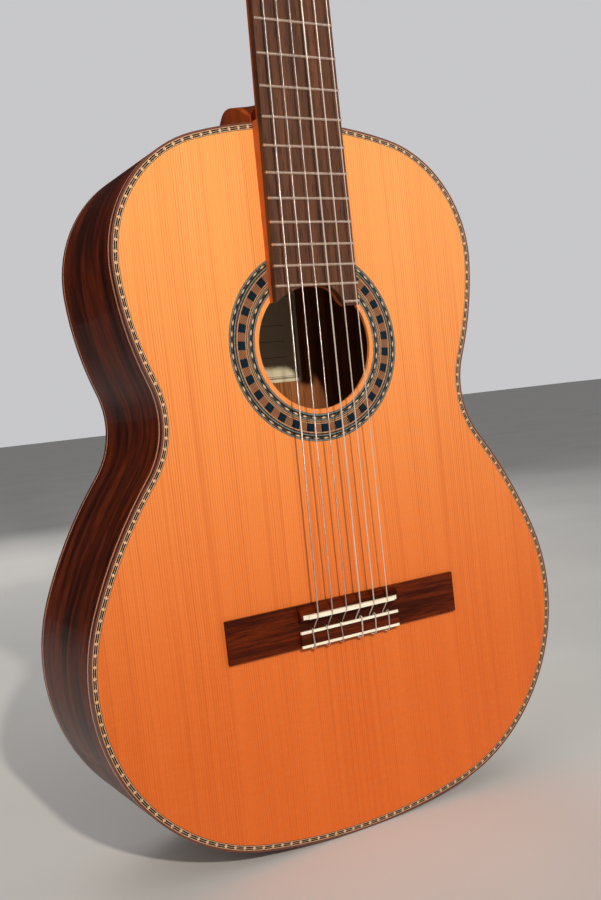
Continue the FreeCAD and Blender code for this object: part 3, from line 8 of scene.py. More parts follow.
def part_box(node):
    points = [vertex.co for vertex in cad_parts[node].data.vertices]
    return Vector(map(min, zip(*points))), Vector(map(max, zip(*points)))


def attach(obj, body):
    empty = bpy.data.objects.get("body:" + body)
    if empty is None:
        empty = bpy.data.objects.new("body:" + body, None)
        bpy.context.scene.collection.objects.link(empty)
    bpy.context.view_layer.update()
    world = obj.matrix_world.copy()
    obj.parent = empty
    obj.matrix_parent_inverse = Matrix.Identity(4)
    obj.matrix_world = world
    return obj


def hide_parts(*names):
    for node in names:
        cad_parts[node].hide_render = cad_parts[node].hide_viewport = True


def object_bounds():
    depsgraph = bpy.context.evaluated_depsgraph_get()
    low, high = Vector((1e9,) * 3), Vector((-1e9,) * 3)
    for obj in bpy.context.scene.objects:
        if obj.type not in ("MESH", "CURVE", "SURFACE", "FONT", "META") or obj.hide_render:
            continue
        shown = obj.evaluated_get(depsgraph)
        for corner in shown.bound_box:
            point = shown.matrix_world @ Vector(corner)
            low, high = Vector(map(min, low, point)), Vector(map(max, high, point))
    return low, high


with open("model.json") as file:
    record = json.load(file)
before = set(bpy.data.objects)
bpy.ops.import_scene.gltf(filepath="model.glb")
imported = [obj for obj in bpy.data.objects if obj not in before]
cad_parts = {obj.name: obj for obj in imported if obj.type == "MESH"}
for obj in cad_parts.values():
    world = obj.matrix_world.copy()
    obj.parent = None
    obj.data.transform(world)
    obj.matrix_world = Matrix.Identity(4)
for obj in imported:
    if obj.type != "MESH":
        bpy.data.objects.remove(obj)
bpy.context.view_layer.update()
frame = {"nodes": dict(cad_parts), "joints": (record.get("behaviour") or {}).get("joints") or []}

# Classical guitar in its CAD frame, in metres: +Z up the neck, +X the treble side, -Y the front.
MM = 0.001
STRINGS = (6, 5, 4, 3, 2, 1)

# ---------------------------------------------------------------- driving dimensions
BODY_LENGTH = 485.3 * MM
OUTLINE_OFFSET = 1.4 * MM
UPPER_WIDTH = 278.8 * MM
WAIST_WIDTH = 238.6 * MM
LOWER_WIDTH = 370.2 * MM
SHOULDER_RADIUS = 85 * MM
WAIST_RADIUS = 60 * MM
LOWER_RADIUS = 130 * MM
UPPER_SIDE_RADIUS = 224 * MM
LOWER_SIDE_RADIUS = 317 * MM
SHOULDER_HEIGHT = 393.3 * MM
WAIST_HEIGHT = 297.7 * MM
LOWER_HEIGHT = 135.7 * MM
BINDING_WIDTH = 1.45 * MM
PURFLING_WIDTH = 3.3 * MM
INLAY_DEPTH = 1.2 * MM
HOLE_HEIGHT = 336.1 * MM
HEAD_TILT = math.radians(12.5)
ROLLER_RADIUS = 5 * MM
STRING_RADIUS = {6: 0.55, 5: 0.45, 4: 0.37, 3: 0.51, 2: 0.41, 1: 0.355}
FIRST_WOUND = 4

# Features per metre of the patterns that repeat evenly.
GRAIN_LINES = 185.0
TILE_CELLS = 1150.0
WIRE_TURNS = 1400.0

# ---------------------------------------------------------------- colours
SRGB_TOE = 10


def linear(red, green, blue):
    """Linear colour from 0-255 screen values."""
    return tuple(c / 255 / 12.92 if c <= SRGB_TOE else ((c / 255 + 0.055) / 1.055) ** 2.4
                 for c in (red, green, blue))


def grey(share):
    """A ramp stop for a mask between two colours."""
    return (share, share, share)


# ---------------------------------------------------------------- node helpers
class Shade:
    """A material's node tree with short calls for the nodes that this scene uses."""

    def __init__(self, name, roughness=0.5, metallic=0.0, coat=0.0, coat_roughness=0.1, ior=1.5,
                 shine=0.5):
        self.material = bpy.data.materials.new(name)
        self.material.use_nodes = True
        self.nodes = self.material.node_tree.nodes
        self.links = self.material.node_tree.links
        self.surface = self.nodes["Principled BSDF"]
        self.surface.inputs["Roughness"].default_value = roughness
        self.surface.inputs["Metallic"].default_value = metallic
        self.surface.inputs["Coat Weight"].default_value = coat
        self.surface.inputs["Coat Roughness"].default_value = coat_roughness
        self.surface.inputs["IOR"].default_value = ior
        self.surface.inputs["Specular IOR Level"].default_value = shine
        self.place = self.nodes.new("ShaderNodeTexCoord").outputs["Object"]

    def put(self, socket, given):
        if isinstance(given, bpy.types.NodeSocket):
            self.links.new(given, socket)
        else:
            socket.default_value = given

    def node(self, kind, output=0, settings=None, **inputs):
        made = self.nodes.new(kind)
        for key, setting in (settings or {}).items():
            setattr(made, key, setting)
        for key, given in inputs.items():
            self.put(made.inputs[key.replace("_", " ")], given)
        return made.outputs[output]

    def stretched(self, across, depth, along):
        """Object coordinates scaled per axis, in features per metre."""
        return self.node("ShaderNodeMapping", Vector=self.place, Scale=(across, depth, along))

    def axes(self, vector):
        """The X, Y and Z of a vector."""
        split = self.nodes.new("ShaderNodeSeparateXYZ")
        self.links.new(vector, split.inputs[0])
        return split.outputs

    def fold_at_centre(self):
        """Mirrors the pattern at the centre line, for bookmatched halves."""
        x, y, z = self.axes(self.place)
        self.place = self.node("ShaderNodeCombineXYZ", X=self.maths("ABSOLUTE", x), Y=y, Z=z)

    def noise(self, place, detail=3.0, roughness=0.5, distortion=0.0):
        return self.node("ShaderNodeTexNoise", Vector=place, Scale=1.0, Detail=detail,
                         Roughness=roughness, Distortion=distortion)

    def maths(self, operation, first, second=0.0):
        made = self.nodes.new("ShaderNodeMath")
        made.operation = operation
        self.put(made.inputs[0], first)
        self.put(made.inputs[1], second)
        return made.outputs[0]

    def vector(self, operation, first, second=None, **inputs):
        made = self.nodes.new("ShaderNodeVectorMath")
        made.operation = operation
        self.put(made.inputs[0], first)
        if second is not None:
            self.put(made.inputs[1], second)
        for key, given in inputs.items():
            self.put(made.inputs[key], given)
        return made.outputs[0]

    def ramp(self, factor, *stops):
        """A colour ramp; each stop is (position, colour)."""
        made = self.nodes.new("ShaderNodeValToRGB")
        elements = made.color_ramp.elements
        for _ in stops[2:]:
            elements.new(0.5)
        for element, (position, colour) in zip(elements, stops):
            element.position = position
            element.color = (*colour, 1.0)
        self.links.new(factor, made.inputs[0])
        return made.outputs[0]

    def mix(self, factor, first, second, blend="MIX"):
        made = self.nodes.new("ShaderNodeMix")
        made.data_type = "RGBA"
        made.blend_type = blend
        self.put(made.inputs[0], factor)
        for socket, given in ((made.inputs[6], first), (made.inputs[7], second)):
            self.put(socket, given if isinstance(given, bpy.types.NodeSocket) else (*given, 1.0))
        return made.outputs[2]

    def colour(self, given):
        self.put(self.surface.inputs["Base Color"], given)
        return self

    def bump(self, height, strength, distance):
        normal = self.node("ShaderNodeBump", Height=height, Strength=strength, Distance=distance)
        self.links.new(normal, self.surface.inputs["Normal"])
        return self


# ---------------------------------------------------------------- materials
def cedar(low, high):
    """Bookmatched top: fine uneven grain lines, broad warm bands, painted light that makes it paler towards
    the neck, and a painted sheen across the grain.
    """
    shade = Shade("cedar_top", roughness=0.42, coat=0.12, coat_roughness=0.2, shine=0.25)
    # Painted light: the colour grows paler towards the neck, as if the light there were stronger.
    pale = shade.node("ShaderNodeMapRange", settings={"interpolation_type": "SMOOTHSTEP"},
                      Value=shade.axes(shade.place)[2],
                      From_Min=low.z + 0.1 * (high.z - low.z), From_Max=high.z)
    shade.fold_at_centre()
    waver = shade.noise(shade.stretched(9, 9, 2.0), detail=2)
    shade.place = shade.vector("ADD", shade.place, shade.vector("SCALE", waver, Scale=0.010))
    rings = shade.node("ShaderNodeTexWave", output=1, Vector=shade.place, Scale=GRAIN_LINES,
                       Distortion=1.6, Detail=1.0, Detail_Scale=0.6)
    spread = shade.noise(shade.stretched(110, 10, 2.0), detail=2, roughness=0.6)
    lines = shade.noise(shade.stretched(900, 20, 2.2), detail=1, roughness=0.5)
    bands = shade.noise(shade.stretched(38, 10, 1.1), detail=2, roughness=0.5)
    silk = shade.noise(shade.stretched(170, 40, 620), detail=2, roughness=0.6)
    # Shaded and lit copies of the wood colour, mixed by height as painted light.
    painted_shade_tone = shade.ramp(bands, (0.2, (0.69, 0.128, 0.013)), (0.8, (0.74, 0.150, 0.018)))
    light = shade.ramp(bands, (0.2, (0.89, 0.335, 0.079)), (0.8, (0.94, 0.375, 0.096)))
    base = shade.mix(pale, painted_shade_tone, light)
    thin = shade.ramp(lines, (0.36, grey(1.0)), (0.46, grey(0.0)))
    regular = shade.maths("MULTIPLY", shade.ramp(rings, (0.45, grey(0.0)), (0.95, grey(1.0))),
                          shade.ramp(spread, (0.35, grey(0.12)), (0.65, grey(0.34))))
    grain = shade.maths("ADD", shade.maths("MULTIPLY", thin, 0.22), regular)
    grained = shade.mix(grain, base, (0.46, 0.055, 0.006))
    # Painted sheen: the silk figure across the grain is the wood's own, and its brightening of the colour is
    # painted sheen.
    painted_silk_sheen = shade.maths("MULTIPLY", shade.maths("SUBTRACT", silk, 0.45), 0.22)
    shade.colour(shade.mix(painted_silk_sheen, grained, (0.95, 0.36, 0.10)))
    return shade.bump(lines, 0.05, 0.0002).material


def rosewood(name, streaks, lift=1.0):
    """Dark, streaked and glossy; streaks are features per metre on each axis, and lift is brightness."""
    shade = Shade(name, roughness=0.36, coat=0.16, coat_roughness=0.04, shine=0.04)
    wide = shade.noise(shade.stretched(*streaks), detail=4, roughness=0.55, distortion=0.6)
    fine = shade.noise(shade.stretched(*(9 * s for s in streaks)), detail=3, roughness=0.7)
    dark, middle, light, brown, pore = (
        tuple(lift * c for c in linear(*tone))
        for tone in ((32, 9, 3), (76, 24, 6), (112, 41, 10), (62, 17, 5), (22, 7, 2)))
    flame = shade.ramp(wide, (0.32, dark), (0.46, middle), (0.58, light), (0.72, brown))
    solid = shade.ramp(fine, (0.36, grey(0.0)), (0.52, grey(1.0)))
    shade.colour(shade.mix(solid, shade.mix(0.55, flame, pore), flame))
    return shade.bump(fine, 0.04, 0.0002).material


def back_wood():
    """Bookmatched back: varnished and dark outside; the inner face is paler, partly from the unvarnished wood
    and partly from painted light that stands in for light inside the body.
    """
    shade = Shade("rosewood_back", roughness=0.36, coat=0.2, coat_roughness=0.06, shine=0.1)
    facing = shade.axes(shade.nodes["Texture Coordinate"].outputs["Normal"])[1]
    inner_face = shade.maths("LESS_THAN", facing, 0.0)
    shade.fold_at_centre()
    flame = shade.noise(shade.stretched(70, 8, 2.4), detail=4, roughness=0.55, distortion=0.6)
    fine = shade.noise(shade.stretched(630, 72, 22), detail=3, roughness=0.7)
    outside = shade.ramp(flame, (0.32, linear(42, 16, 8)), (0.46, linear(86, 36, 16)),
                         (0.58, linear(124, 56, 24)), (0.72, linear(70, 27, 12)))
    # Partly painted light: the inner colour is lifted to stand in for the light that falls inside the body.
    inside = shade.ramp(flame, (0.32, linear(126, 74, 44)), (0.5, linear(172, 110, 66)),
                        (0.68, linear(146, 86, 50)))
    wood = shade.mix(inner_face, outside, inside)
    pores = shade.ramp(fine, (0.36, grey(0.5)), (0.52, grey(0.0)))
    shade.colour(shade.mix(pores, wood, linear(30, 12, 7)))
    return shade.bump(fine, 0.04, 0.0002).material


def red_wood(name, light, dark, coat=0.1):
    """Straight reddish neck wood with short pores along the neck."""
    shade = Shade(name, roughness=0.4, coat=coat, coat_roughness=0.15, shine=0.1)
    tone = shade.noise(shade.stretched(60, 60, 3), detail=3)
    pores = shade.noise(shade.stretched(1400, 1400, 60), detail=2, roughness=0.6)
    base = shade.ramp(tone, (0.3, dark), (0.7, light))
    shade.colour(shade.mix(shade.ramp(pores, (0.33, grey(0.55)), (0.45, grey(0.0))), base,
                           tuple(c * 0.35 for c in dark)))
    return shade.bump(pores, 0.08, 0.0002).material


def ebony():
    """Fingerboard: dark brown with fine pores, worn to a soft sheen."""
    shade = Shade("board_wood", roughness=0.5, shine=0.3)
    tone = shade.noise(shade.stretched(120, 120, 4), detail=4, roughness=0.6)
    pores = shade.noise(shade.stretched(1800, 1800, 70), detail=2)
    base = shade.ramp(tone, (0.3, linear(64, 34, 17)), (0.7, linear(106, 61, 34)))
    shade.colour(shade.mix(shade.ramp(pores, (0.36, grey(0.7)), (0.46, grey(0.0))), base,
                           linear(26, 15, 11)))
    return shade.bump(pores, 0.12, 0.0002).material


def pale_wood(name, light, dark):
    """Unvarnished inner wood."""
    shade = Shade(name, roughness=0.7)
    tone = shade.noise(shade.stretched(260, 40, 5), detail=4, roughness=0.6)
    shade.colour(shade.ramp(tone, (0.3, dark), (0.7, light)))
    return shade.bump(tone, 0.1, 0.0003).material


def line_wood(name, light, dark, coat=0.15):
    """A dyed or natural veneer line under the varnish."""
    shade = Shade(name, roughness=0.42, coat=coat, coat_roughness=0.15, shine=0.25)
    tone = shade.noise(shade.stretched(900, 900, 900), detail=2)
    shade.colour(shade.ramp(tone, (0.35, dark), (0.65, light)))
    return shade.material


def edge_wood():
    """Dark binding with a painted highlight: its upper face is painted paler than its side, for the sheen on
    its rounded edge.
    """
    shade = Shade("binding_wood", roughness=0.38, coat=0.25, coat_roughness=0.1, shine=0.2)
    # Painted highlight: the upper face takes a paler colour that stands in for the sheen on the rounded edge.
    upper = shade.maths("LESS_THAN", shade.axes(shade.place)[1], 0.05 * MM)
    tone = shade.noise(shade.stretched(260, 260, 30), detail=3)
    side = shade.ramp(tone, (0.35, linear(56, 20, 11)), (0.65, linear(96, 38, 20)))
    shade.colour(shade.mix(shade.maths("MULTIPLY", upper, 0.7), side, linear(118, 72, 56)))
    return shade.bump(tone, 0.03, 0.0002).material


def woven_tile(name, light, dark):
    """Mosaic tile of tiny end-grain squares."""
    shade = Shade(name, roughness=0.42, coat=0.05, coat_roughness=0.15, shine=0.12)
    # The shift in depth keeps the upper face off a boundary between cells.
    inside_cells = shade.vector("ADD", shade.place, (0.0, 0.4 * MM, 0.0))
    grid = shade.node("ShaderNodeTexChecker", output=1, Vector=inside_cells, Scale=TILE_CELLS)
    soft = shade.noise(shade.stretched(500, 500, 500), detail=2)
    shade.colour(shade.mix(shade.mix(0.3, grid, soft), dark, light))
    return shade.material


def bone():
    """Polished bone, slightly translucent."""
    shade = Shade("bone", roughness=0.32, ior=1.55)
    tone = shade.noise(shade.stretched(90, 260, 260), detail=4, roughness=0.6)
    shade.colour(shade.ramp(tone, (0.3, linear(240, 226, 196)), (0.7, linear(252, 246, 228))))
    shade.surface.inputs["Subsurface Weight"].default_value = 0.12
    shade.surface.inputs["Subsurface Scale"].default_value = 0.002
    return shade.bump(tone, 0.05, 0.0002).material


def metal(name, light, dark, roughness):
    """Metal with fine handling marks."""
    shade = Shade(name, roughness=roughness, metallic=1.0)
    marks = shade.noise(shade.stretched(960, 120, 120), detail=4, roughness=0.65)
    shade.colour(shade.ramp(marks, (0.3, dark), (0.7, light)))
    return shade.bump(marks, 0.05, 0.0001).material


def wound_wire():
    """Silver-plated wire wound round the core: fine rings along the string, darkened as painted shade in the
    grooves between turns.
    """
    shade = Shade("wound_wire", roughness=0.28, metallic=1.0)
    rings = shade.node("ShaderNodeTexWave", output=1, settings={"bands_direction": "Z"},
                       Vector=shade.place, Scale=WIRE_TURNS)
    tone = shade.noise(shade.stretched(90, 90, 90), detail=3)
    silver = shade.ramp(tone, (0.3, linear(226, 214, 204)), (0.7, linear(246, 238, 230)))
    # Painted shade: the colour darkens in rings, where the grooves between turns fall in shade.
    shade.colour(shade.mix(shade.maths("MULTIPLY", rings, 0.35), silver, linear(150, 134, 122)))
    return shade.bump(rings, 0.3, 0.0001).material


def nylon():
    """Clear treble string."""
    shade = Shade("nylon", roughness=0.18, ior=1.53)
    tone = shade.noise(shade.stretched(200, 200, 20), detail=2)
    shade.colour(shade.ramp(tone, (0.3, linear(214, 196, 178)), (0.7, linear(236, 224, 212))))
    shade.surface.inputs["Transmission Weight"].default_value = 0.35
    return shade.material


def pearl():
    """Pearloid button: cloudy bands of cream and grey."""
    shade = Shade("pearl_button", roughness=0.22, coat=0.8, coat_roughness=0.05)
    swirl = shade.noise(shade.stretched(260, 260, 260), detail=5, roughness=0.7, distortion=2.2)
    shade.colour(shade.ramp(swirl, (0.3, linear(178, 176, 168)), (0.5, linear(226, 222, 208)),
                            (0.68, linear(246, 242, 230))))
    return shade.material


def ivory_plastic():
    """Cream plastic of the rollers."""
    shade = Shade("roller_plastic", roughness=0.3, coat=0.3, coat_roughness=0.1)
    tone = shade.noise(shade.stretched(160, 160, 160), detail=2)
    shade.colour(shade.ramp(tone, (0.3, linear(222, 214, 192)), (0.7, linear(238, 232, 214))))
    return shade.bump(tone, 0.03, 0.0002).material


def label_paper(low, high):
    """Cream paper with a plain double border and ruled lines, and no lettering."""
    shade = Shade("label_paper", roughness=0.85)
    across, _, along = shade.axes(shade.place)
    centre, half = (low + high) / 2, (high - low) / 2

    def distance_from(value, given):
        return shade.maths("ABSOLUTE", shade.maths("SUBTRACT", value, given))

    from_side = shade.maths("SUBTRACT", half.x, distance_from(across, centre.x))
    from_end = shade.maths("SUBTRACT", half.z, distance_from(along, centre.z))
    edge = shade.maths("MINIMUM", from_side, from_end)
    marks = []
    for inset, half_width in ((3.0, 0.6), (4.4, 0.2)):
        off = distance_from(edge, inset * MM)
        marks.append(shade.maths("LESS_THAN", off, half_width * MM))
    inside = shade.maths("GREATER_THAN", edge, 12 * MM)
    for height in (-0.45, -0.1, 0.25):
        off = distance_from(along, centre.z + height * half.z)
        marks.append(shade.maths("MULTIPLY", inside, shade.maths("LESS_THAN", off, 0.25 * MM)))
    ink = marks[0]
    for mark in marks[1:]:
        ink = shade.maths("MAXIMUM", ink, mark)
    fibre = shade.noise(shade.stretched(900, 900, 900), detail=4, roughness=0.7)
    stain = shade.noise(shade.stretched(22, 22, 22), detail=3)
    paper = shade.mix(stain, linear(222, 206, 164), linear(238, 228, 196))
    shade.colour(shade.mix(shade.maths("MULTIPLY", ink, 0.7), paper, linear(84, 66, 48)))
    return shade.bump(fibre, 0.15, 0.0002).material


CEDAR = cedar(*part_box("soundboard"))
RIB_WOOD = rosewood("rosewood_ribs", (9, 62, 7))
BACK_WOOD = back_wood()
BRIDGE_WOOD = rosewood("rosewood_bridge", (9, 150, 150), lift=0.8)
HEAD_WOOD = rosewood("rosewood_head", (110, 20, 5))
BINDING = edge_wood()
SIDE_LINE = line_wood("side_line_wood", linear(240, 168, 128), linear(214, 138, 102))
NECK_WOOD = red_wood("neck_wood", linear(176, 76, 24), linear(138, 54, 14))
WEDGE_WOOD = red_wood("wedge_wood", linear(210, 108, 48), linear(176, 82, 32))
EBONY = ebony()
INNER = pale_wood("inner_spruce", linear(214, 176, 124), linear(184, 140, 90))
CREAM = line_wood("cream_line", linear(226, 190, 150), linear(196, 150, 110))
BLACK = line_wood("black_line", linear(16, 13, 16), linear(8, 6, 8))
BROWN = line_wood("brown_line", linear(90, 38, 18), linear(58, 24, 11))
TAN = line_wood("tan_line", linear(192, 146, 104), linear(158, 112, 72))
GREY_BLUE = line_wood("grey_blue_line", linear(128, 138, 128), linear(80, 94, 96))
NAVY_TILE = woven_tile("navy_tile", linear(6, 38, 54), linear(1, 10, 18))
BROWN_TILE = woven_tile("brown_tile", linear(164, 112, 78), linear(70, 38, 22))
BONE = bone()
FRET_METAL = metal("fret_metal", linear(252, 226, 206), linear(222, 190, 168), 0.40)
BRASS = metal("machine_brass", linear(226, 184, 104), linear(196, 150, 76), 0.24)
GEAR_BRASS = metal("gear_brass", linear(214, 168, 88), linear(170, 126, 60), 0.3)
WOUND = wound_wire()
NYLON = nylon()
PEARL = pearl()
IVORY = ivory_plastic()

NODE_MATERIALS = {
    "soundboard": CEDAR, "binding_top": BINDING, "side_lines": SIDE_LINE, "rib_bass": RIB_WOOD,
    "rib_treble": RIB_WOOD, "binding_back": BINDING, "back_plate": BACK_WOOD, "end_graft": BINDING,
    "tail_block": INNER, "linings": INNER, "soundboard_braces": INNER, "back_braces": INNER,
    "back_centre_strip": INNER, "label": label_paper(*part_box("label")), "neck": NECK_WOOD,
    "heel_cap": HEAD_WOOD, "fingerboard_wedge": WEDGE_WOOD, "fingerboard": EBONY, "frets": FRET_METAL,
    "nut": BONE, "headstock": NECK_WOOD, "head_veneer": HEAD_WOOD, "bridge": BRIDGE_WOOD, "saddle": BONE,
    "tie_strips": BONE, "tuner_plate_bass": BRASS, "tuner_plate_treble": BRASS,
    "tuner_plate_screws": BRASS,
}
for number in STRINGS:
    NODE_MATERIALS[f"string_{number}"] = WOUND if number >= FIRST_WOUND else NYLON
    NODE_MATERIALS[f"tuner_roller_{number}"] = IVORY
    NODE_MATERIALS[f"tuner_gear_{number}"] = GEAR_BRASS
    NODE_MATERIALS[f"tuner_worm_{number}"] = BRASS
    NODE_MATERIALS[f"tuner_button_{number}"] = PEARL
for node, material in NODE_MATERIALS.items():
    frame["nodes"][node].data.materials.clear()
    frame["nodes"][node].data.materials.append(material)


# ---------------------------------------------------------------- mesh helpers
def piece(name, points, faces, material, slot, body="body", smooth=False):
    """A mesh object that rides on a body, in the given material. The slot is not used."""
    mesh = bpy.data.meshes.new(name)
    mesh.from_pydata([tuple(p) for p in points], [], faces)
    mesh.validate()
    mesh.materials.append(material)
    for polygon in mesh.polygons:
        polygon.use_smooth = smooth
    made = bpy.data.objects.new(name, mesh)
    bpy.context.scene.collection.objects.link(made)
    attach(made, body)
    return made


def heading(angle):
    """Unit vector in the plane of the top, at an angle from the treble side."""
    return Vector((math.cos(angle), 0, math.sin(angle)))


class Circle:
    """A round track about the soundhole; distance runs along the middle radius."""

    def __init__(self, radius):
        self.radius = radius
        self.length = 2 * math.pi * radius

    def at(self, distance, offset):
        """The point at a distance along, moved outwards by offset."""
        direction = heading(-math.pi / 2 + distance / self.radius)
        return Vector((0, 0, HOLE_HEIGHT)) + direction * (self.radius + offset)


class Outline:
    """The body outline as tangent arcs, from the neck end round the treble side and back up the bass side."""

    def __init__(self, inset):
        self.inset = inset
        half = self.treble_half()
        self.arcs = half + [(Vector((-centre.x, 0, centre.z)), radius, math.pi - end, math.pi - start, hollow)
                            for centre, radius, start, end, hollow in reversed(half)]
        self.lengths = [abs(end - start) * self.reach(radius, hollow, 0)
                        for _, radius, start, end, hollow in self.arcs]
        self.length = sum(self.lengths)

    def reach(self, radius, hollow, offset):
        """Radius of an arc once it is moved in by the inset and out by the offset."""
        return radius + (self.inset - offset) * (1 if hollow else -1)

    @staticmethod
    def treble_half():
        """Arcs of the treble side, each (centre, radius, start angle, end angle, is it the hollow waist)."""
        shoulder = Vector((UPPER_WIDTH / 2 - SHOULDER_RADIUS, 0, SHOULDER_HEIGHT))
        waist = Vector((WAIST_WIDTH / 2 + WAIST_RADIUS, 0, WAIST_HEIGHT))
        lower = Vector((LOWER_WIDTH / 2 - LOWER_RADIUS, 0, LOWER_HEIGHT))

        def bridging(bout, bout_radius, radius):
            """Centre of the arc that runs from a bout into the waist."""
            span = waist - bout
            near, far = radius - bout_radius, radius + WAIST_RADIUS
            along = (near ** 2 - far ** 2 + span.length ** 2) / (2 * span.length)
            across = math.sqrt(near ** 2 - along ** 2)
            unit = span.normalized()
            side = Vector((-unit.z, 0, unit.x))
            return min((bout + unit * along + side * across * s for s in (1, -1)), key=lambda p: p.x)

        def capping(bout, radius, height):
            """Radius of the arc that closes a bout at an end of the body."""
            rise = abs(height - bout.z)
            return (bout.x ** 2 + rise ** 2 - radius ** 2) / (2 * (rise - radius))

        top = capping(shoulder, SHOULDER_RADIUS, BODY_LENGTH)
        tail = capping(lower, LOWER_RADIUS, 0)
        circles = [(Vector((0, 0, BODY_LENGTH - top)), top), (shoulder, SHOULDER_RADIUS),
                   (bridging(shoulder, SHOULDER_RADIUS, UPPER_SIDE_RADIUS), UPPER_SIDE_RADIUS),
                   (waist, WAIST_RADIUS),
                   (bridging(lower, LOWER_RADIUS, LOWER_SIDE_RADIUS), LOWER_SIDE_RADIUS),
                   (lower, LOWER_RADIUS), (Vector((0, 0, tail)), tail)]

        def bearing(towards, hollow):
            angle = math.atan2(towards.z, towards.x)
            return angle % (2 * math.pi) if hollow else angle

        arcs, start = [], math.pi / 2
        for (centre, radius), (following, next_radius) in zip(circles, circles[1:]):
            hollow, into_hollow = radius == WAIST_RADIUS, next_radius == WAIST_RADIUS
            towards = following - centre
            if not hollow and not into_hollow and radius < next_radius:
                towards = -towards
            arcs.append((centre, radius, start, bearing(towards, hollow), hollow))
            start = bearing(-towards if hollow or into_hollow else towards, into_hollow)
        centre, radius = circles[-1]
        arcs.append((centre, radius, start, -math.pi / 2, False))
        return arcs

    def at(self, distance, offset):
        """The point at a distance along, moved outwards by offset."""
        distance %= self.length
        for (centre, radius, start, end, hollow), length in zip(self.arcs, self.lengths):
            if distance <= length:
                direction = heading(start + (end - start) * distance / length)
                shifted = centre + Vector((OUTLINE_OFFSET, 0, 0))
                return shifted + direction * self.reach(radius, hollow, offset)
            distance -= length
        return self.at(0, offset)


def band(track, inner, outer, start=0.0, end=None, steps=720):
    """Points and faces of a flat strip let into the top, between two offsets along a track.

    With no end the strip goes right round the track.
    """
    closed = end is None
    span = track.length if closed else end - start
    rows = steps if closed else steps + 1
    points, faces = [], []
    for row in range(rows):
        distance = start + span * row / steps
        for offset, depth in ((inner, 0.0), (outer, 0.0), (outer, INLAY_DEPTH), (inner, INLAY_DEPTH)):
            point = track.at(distance, offset)
            points.append((point.x, depth, point.z))
    for row in range(steps):
        here, there = 4 * row, 4 * ((row + 1) % rows)
        for side in range(4):
            after = (side + 1) % 4
            faces.append((here + side, here + after, there + after, there + side))
    if not closed:
        faces.append((3, 2, 1, 0))
        last = 4 * steps
        faces.append((last, last + 1, last + 2, last + 3))
    return points, faces


def gathered(parts):
    """Several sets of points and faces as one."""
    points, faces = [], []
    for more_points, more_faces in parts:
        base = len(points)
        points.extend(more_points)
        faces.extend(tuple(base + index for index in face) for face in more_faces)
    return points, faces


DASH_PROUD = 0.02 * MM
DASH_STEPS = 4
DASH_REACH = 0.95
ROPE_GAP = 0.03


def dash(track, middle, half_width, split, start, long_edge, short_edge, outwards):
    """One dark slanted-end strip of the rope: longer on its outer edge than on its centre side.

    Each edge is where it starts and ends, as distances from the start of the pitch.
    """
    near = middle + outwards * split * half_width
    far = middle + outwards * DASH_REACH * half_width
    edges = []
    for offset, (low, high) in ((near, short_edge), (far, long_edge)):
        edges.append([track.at(start + low + (high - low) * step / DASH_STEPS, offset)
                      for step in range(DASH_STEPS + 1)])
    ring = edges[0] + edges[1][::-1]
    points = [(p.x, -DASH_PROUD, p.z) for p in ring] + [(p.x, INLAY_DEPTH / 2, p.z) for p in ring]
    size = len(ring)
    faces = [tuple(range(size)), tuple(reversed(range(size, 2 * size)))]
    faces += [(i, size + i, size + (i + 1) % size, (i + 1) % size) for i in range(size)]
    return points, faces


def rope(name, track, middle, width, count, lozenge, split):
    """Light band with two rows of dark dashes that leave a light lozenge between each pair.

    The lozenge is a share of the pitch, and the split is the share of the width between the two rows.
    Returns the light band.
    """
    half = width / 2
    pitch = track.length / count
    gap_wide, gap_narrow = lozenge * pitch, ROPE_GAP * pitch
    light = piece(name + "_light", *band(track, middle - half, middle + half), CREAM, "inlay")
    parts = []
    for index in range(count):
        start = index * pitch
        for outwards in (-1, 1):
            parts.append(dash(track, middle, half, split, start, (gap_narrow / 2, pitch - gap_narrow / 2),
                              (gap_wide / 2, pitch - gap_wide / 2), outwards))
    piece(name + "_dark", *gathered(parts), BLACK, "inlay")
    return light


WIRE_SIDES = 10


def tube(name, path, radius, material, slot, body):
    """A round wire along a list of points, with closed ends."""
    points, faces = [], []
    side = None
    for index, point in enumerate(path):
        before, after = path[max(index - 1, 0)], path[min(index + 1, len(path) - 1)]
        along = (after - before).normalized()
        if side is None:
            side = along.orthogonal().normalized()
        side = (side - along * side.dot(along)).normalized()
        other = along.cross(side)
        for turn in range(WIRE_SIDES):
            angle = 2 * math.pi * turn / WIRE_SIDES
            points.append(point + (side * math.cos(angle) + other * math.sin(angle)) * radius)
    for index in range(len(path) - 1):
        here, there = index * WIRE_SIDES, (index + 1) * WIRE_SIDES
        for turn in range(WIRE_SIDES):
            after = (turn + 1) % WIRE_SIDES
            faces.append((here + turn, here + after, there + after, there + turn))
    faces.append(tuple(reversed(range(WIRE_SIDES))))
    faces.append(tuple(range((len(path) - 1) * WIRE_SIDES, len(path) * WIRE_SIDES)))
    piece(name, points, faces, material, slot, body, smooth=True)


# ---------------------------------------------------------------- purfling round the soundboard
PURFLING_LINE = 0.35 * MM
PURFLING_DASHES = 204


def build_purfling():
    """Light, rope, light, brown: from the binding in to the soundboard."""
    edge = Outline(BINDING_WIDTH + PURFLING_WIDTH / 2)
    half = PURFLING_WIDTH / 2
    for name, inner, outer, material in (
            ("purfling_outer_light", half - PURFLING_LINE, half, CREAM),
            ("purfling_inner_light", PURFLING_LINE - half, 2 * PURFLING_LINE - half, CREAM),
            ("purfling_inner_brown", -half, PURFLING_LINE - half, BROWN)):
        piece(name, *band(edge, inner, outer), material, "inlay")
    light = rope("purfling_rope", edge, PURFLING_LINE / 2, PURFLING_WIDTH - 3 * PURFLING_LINE,
                 PURFLING_DASHES, 0.36, 0.12)
    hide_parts("purfling_top")


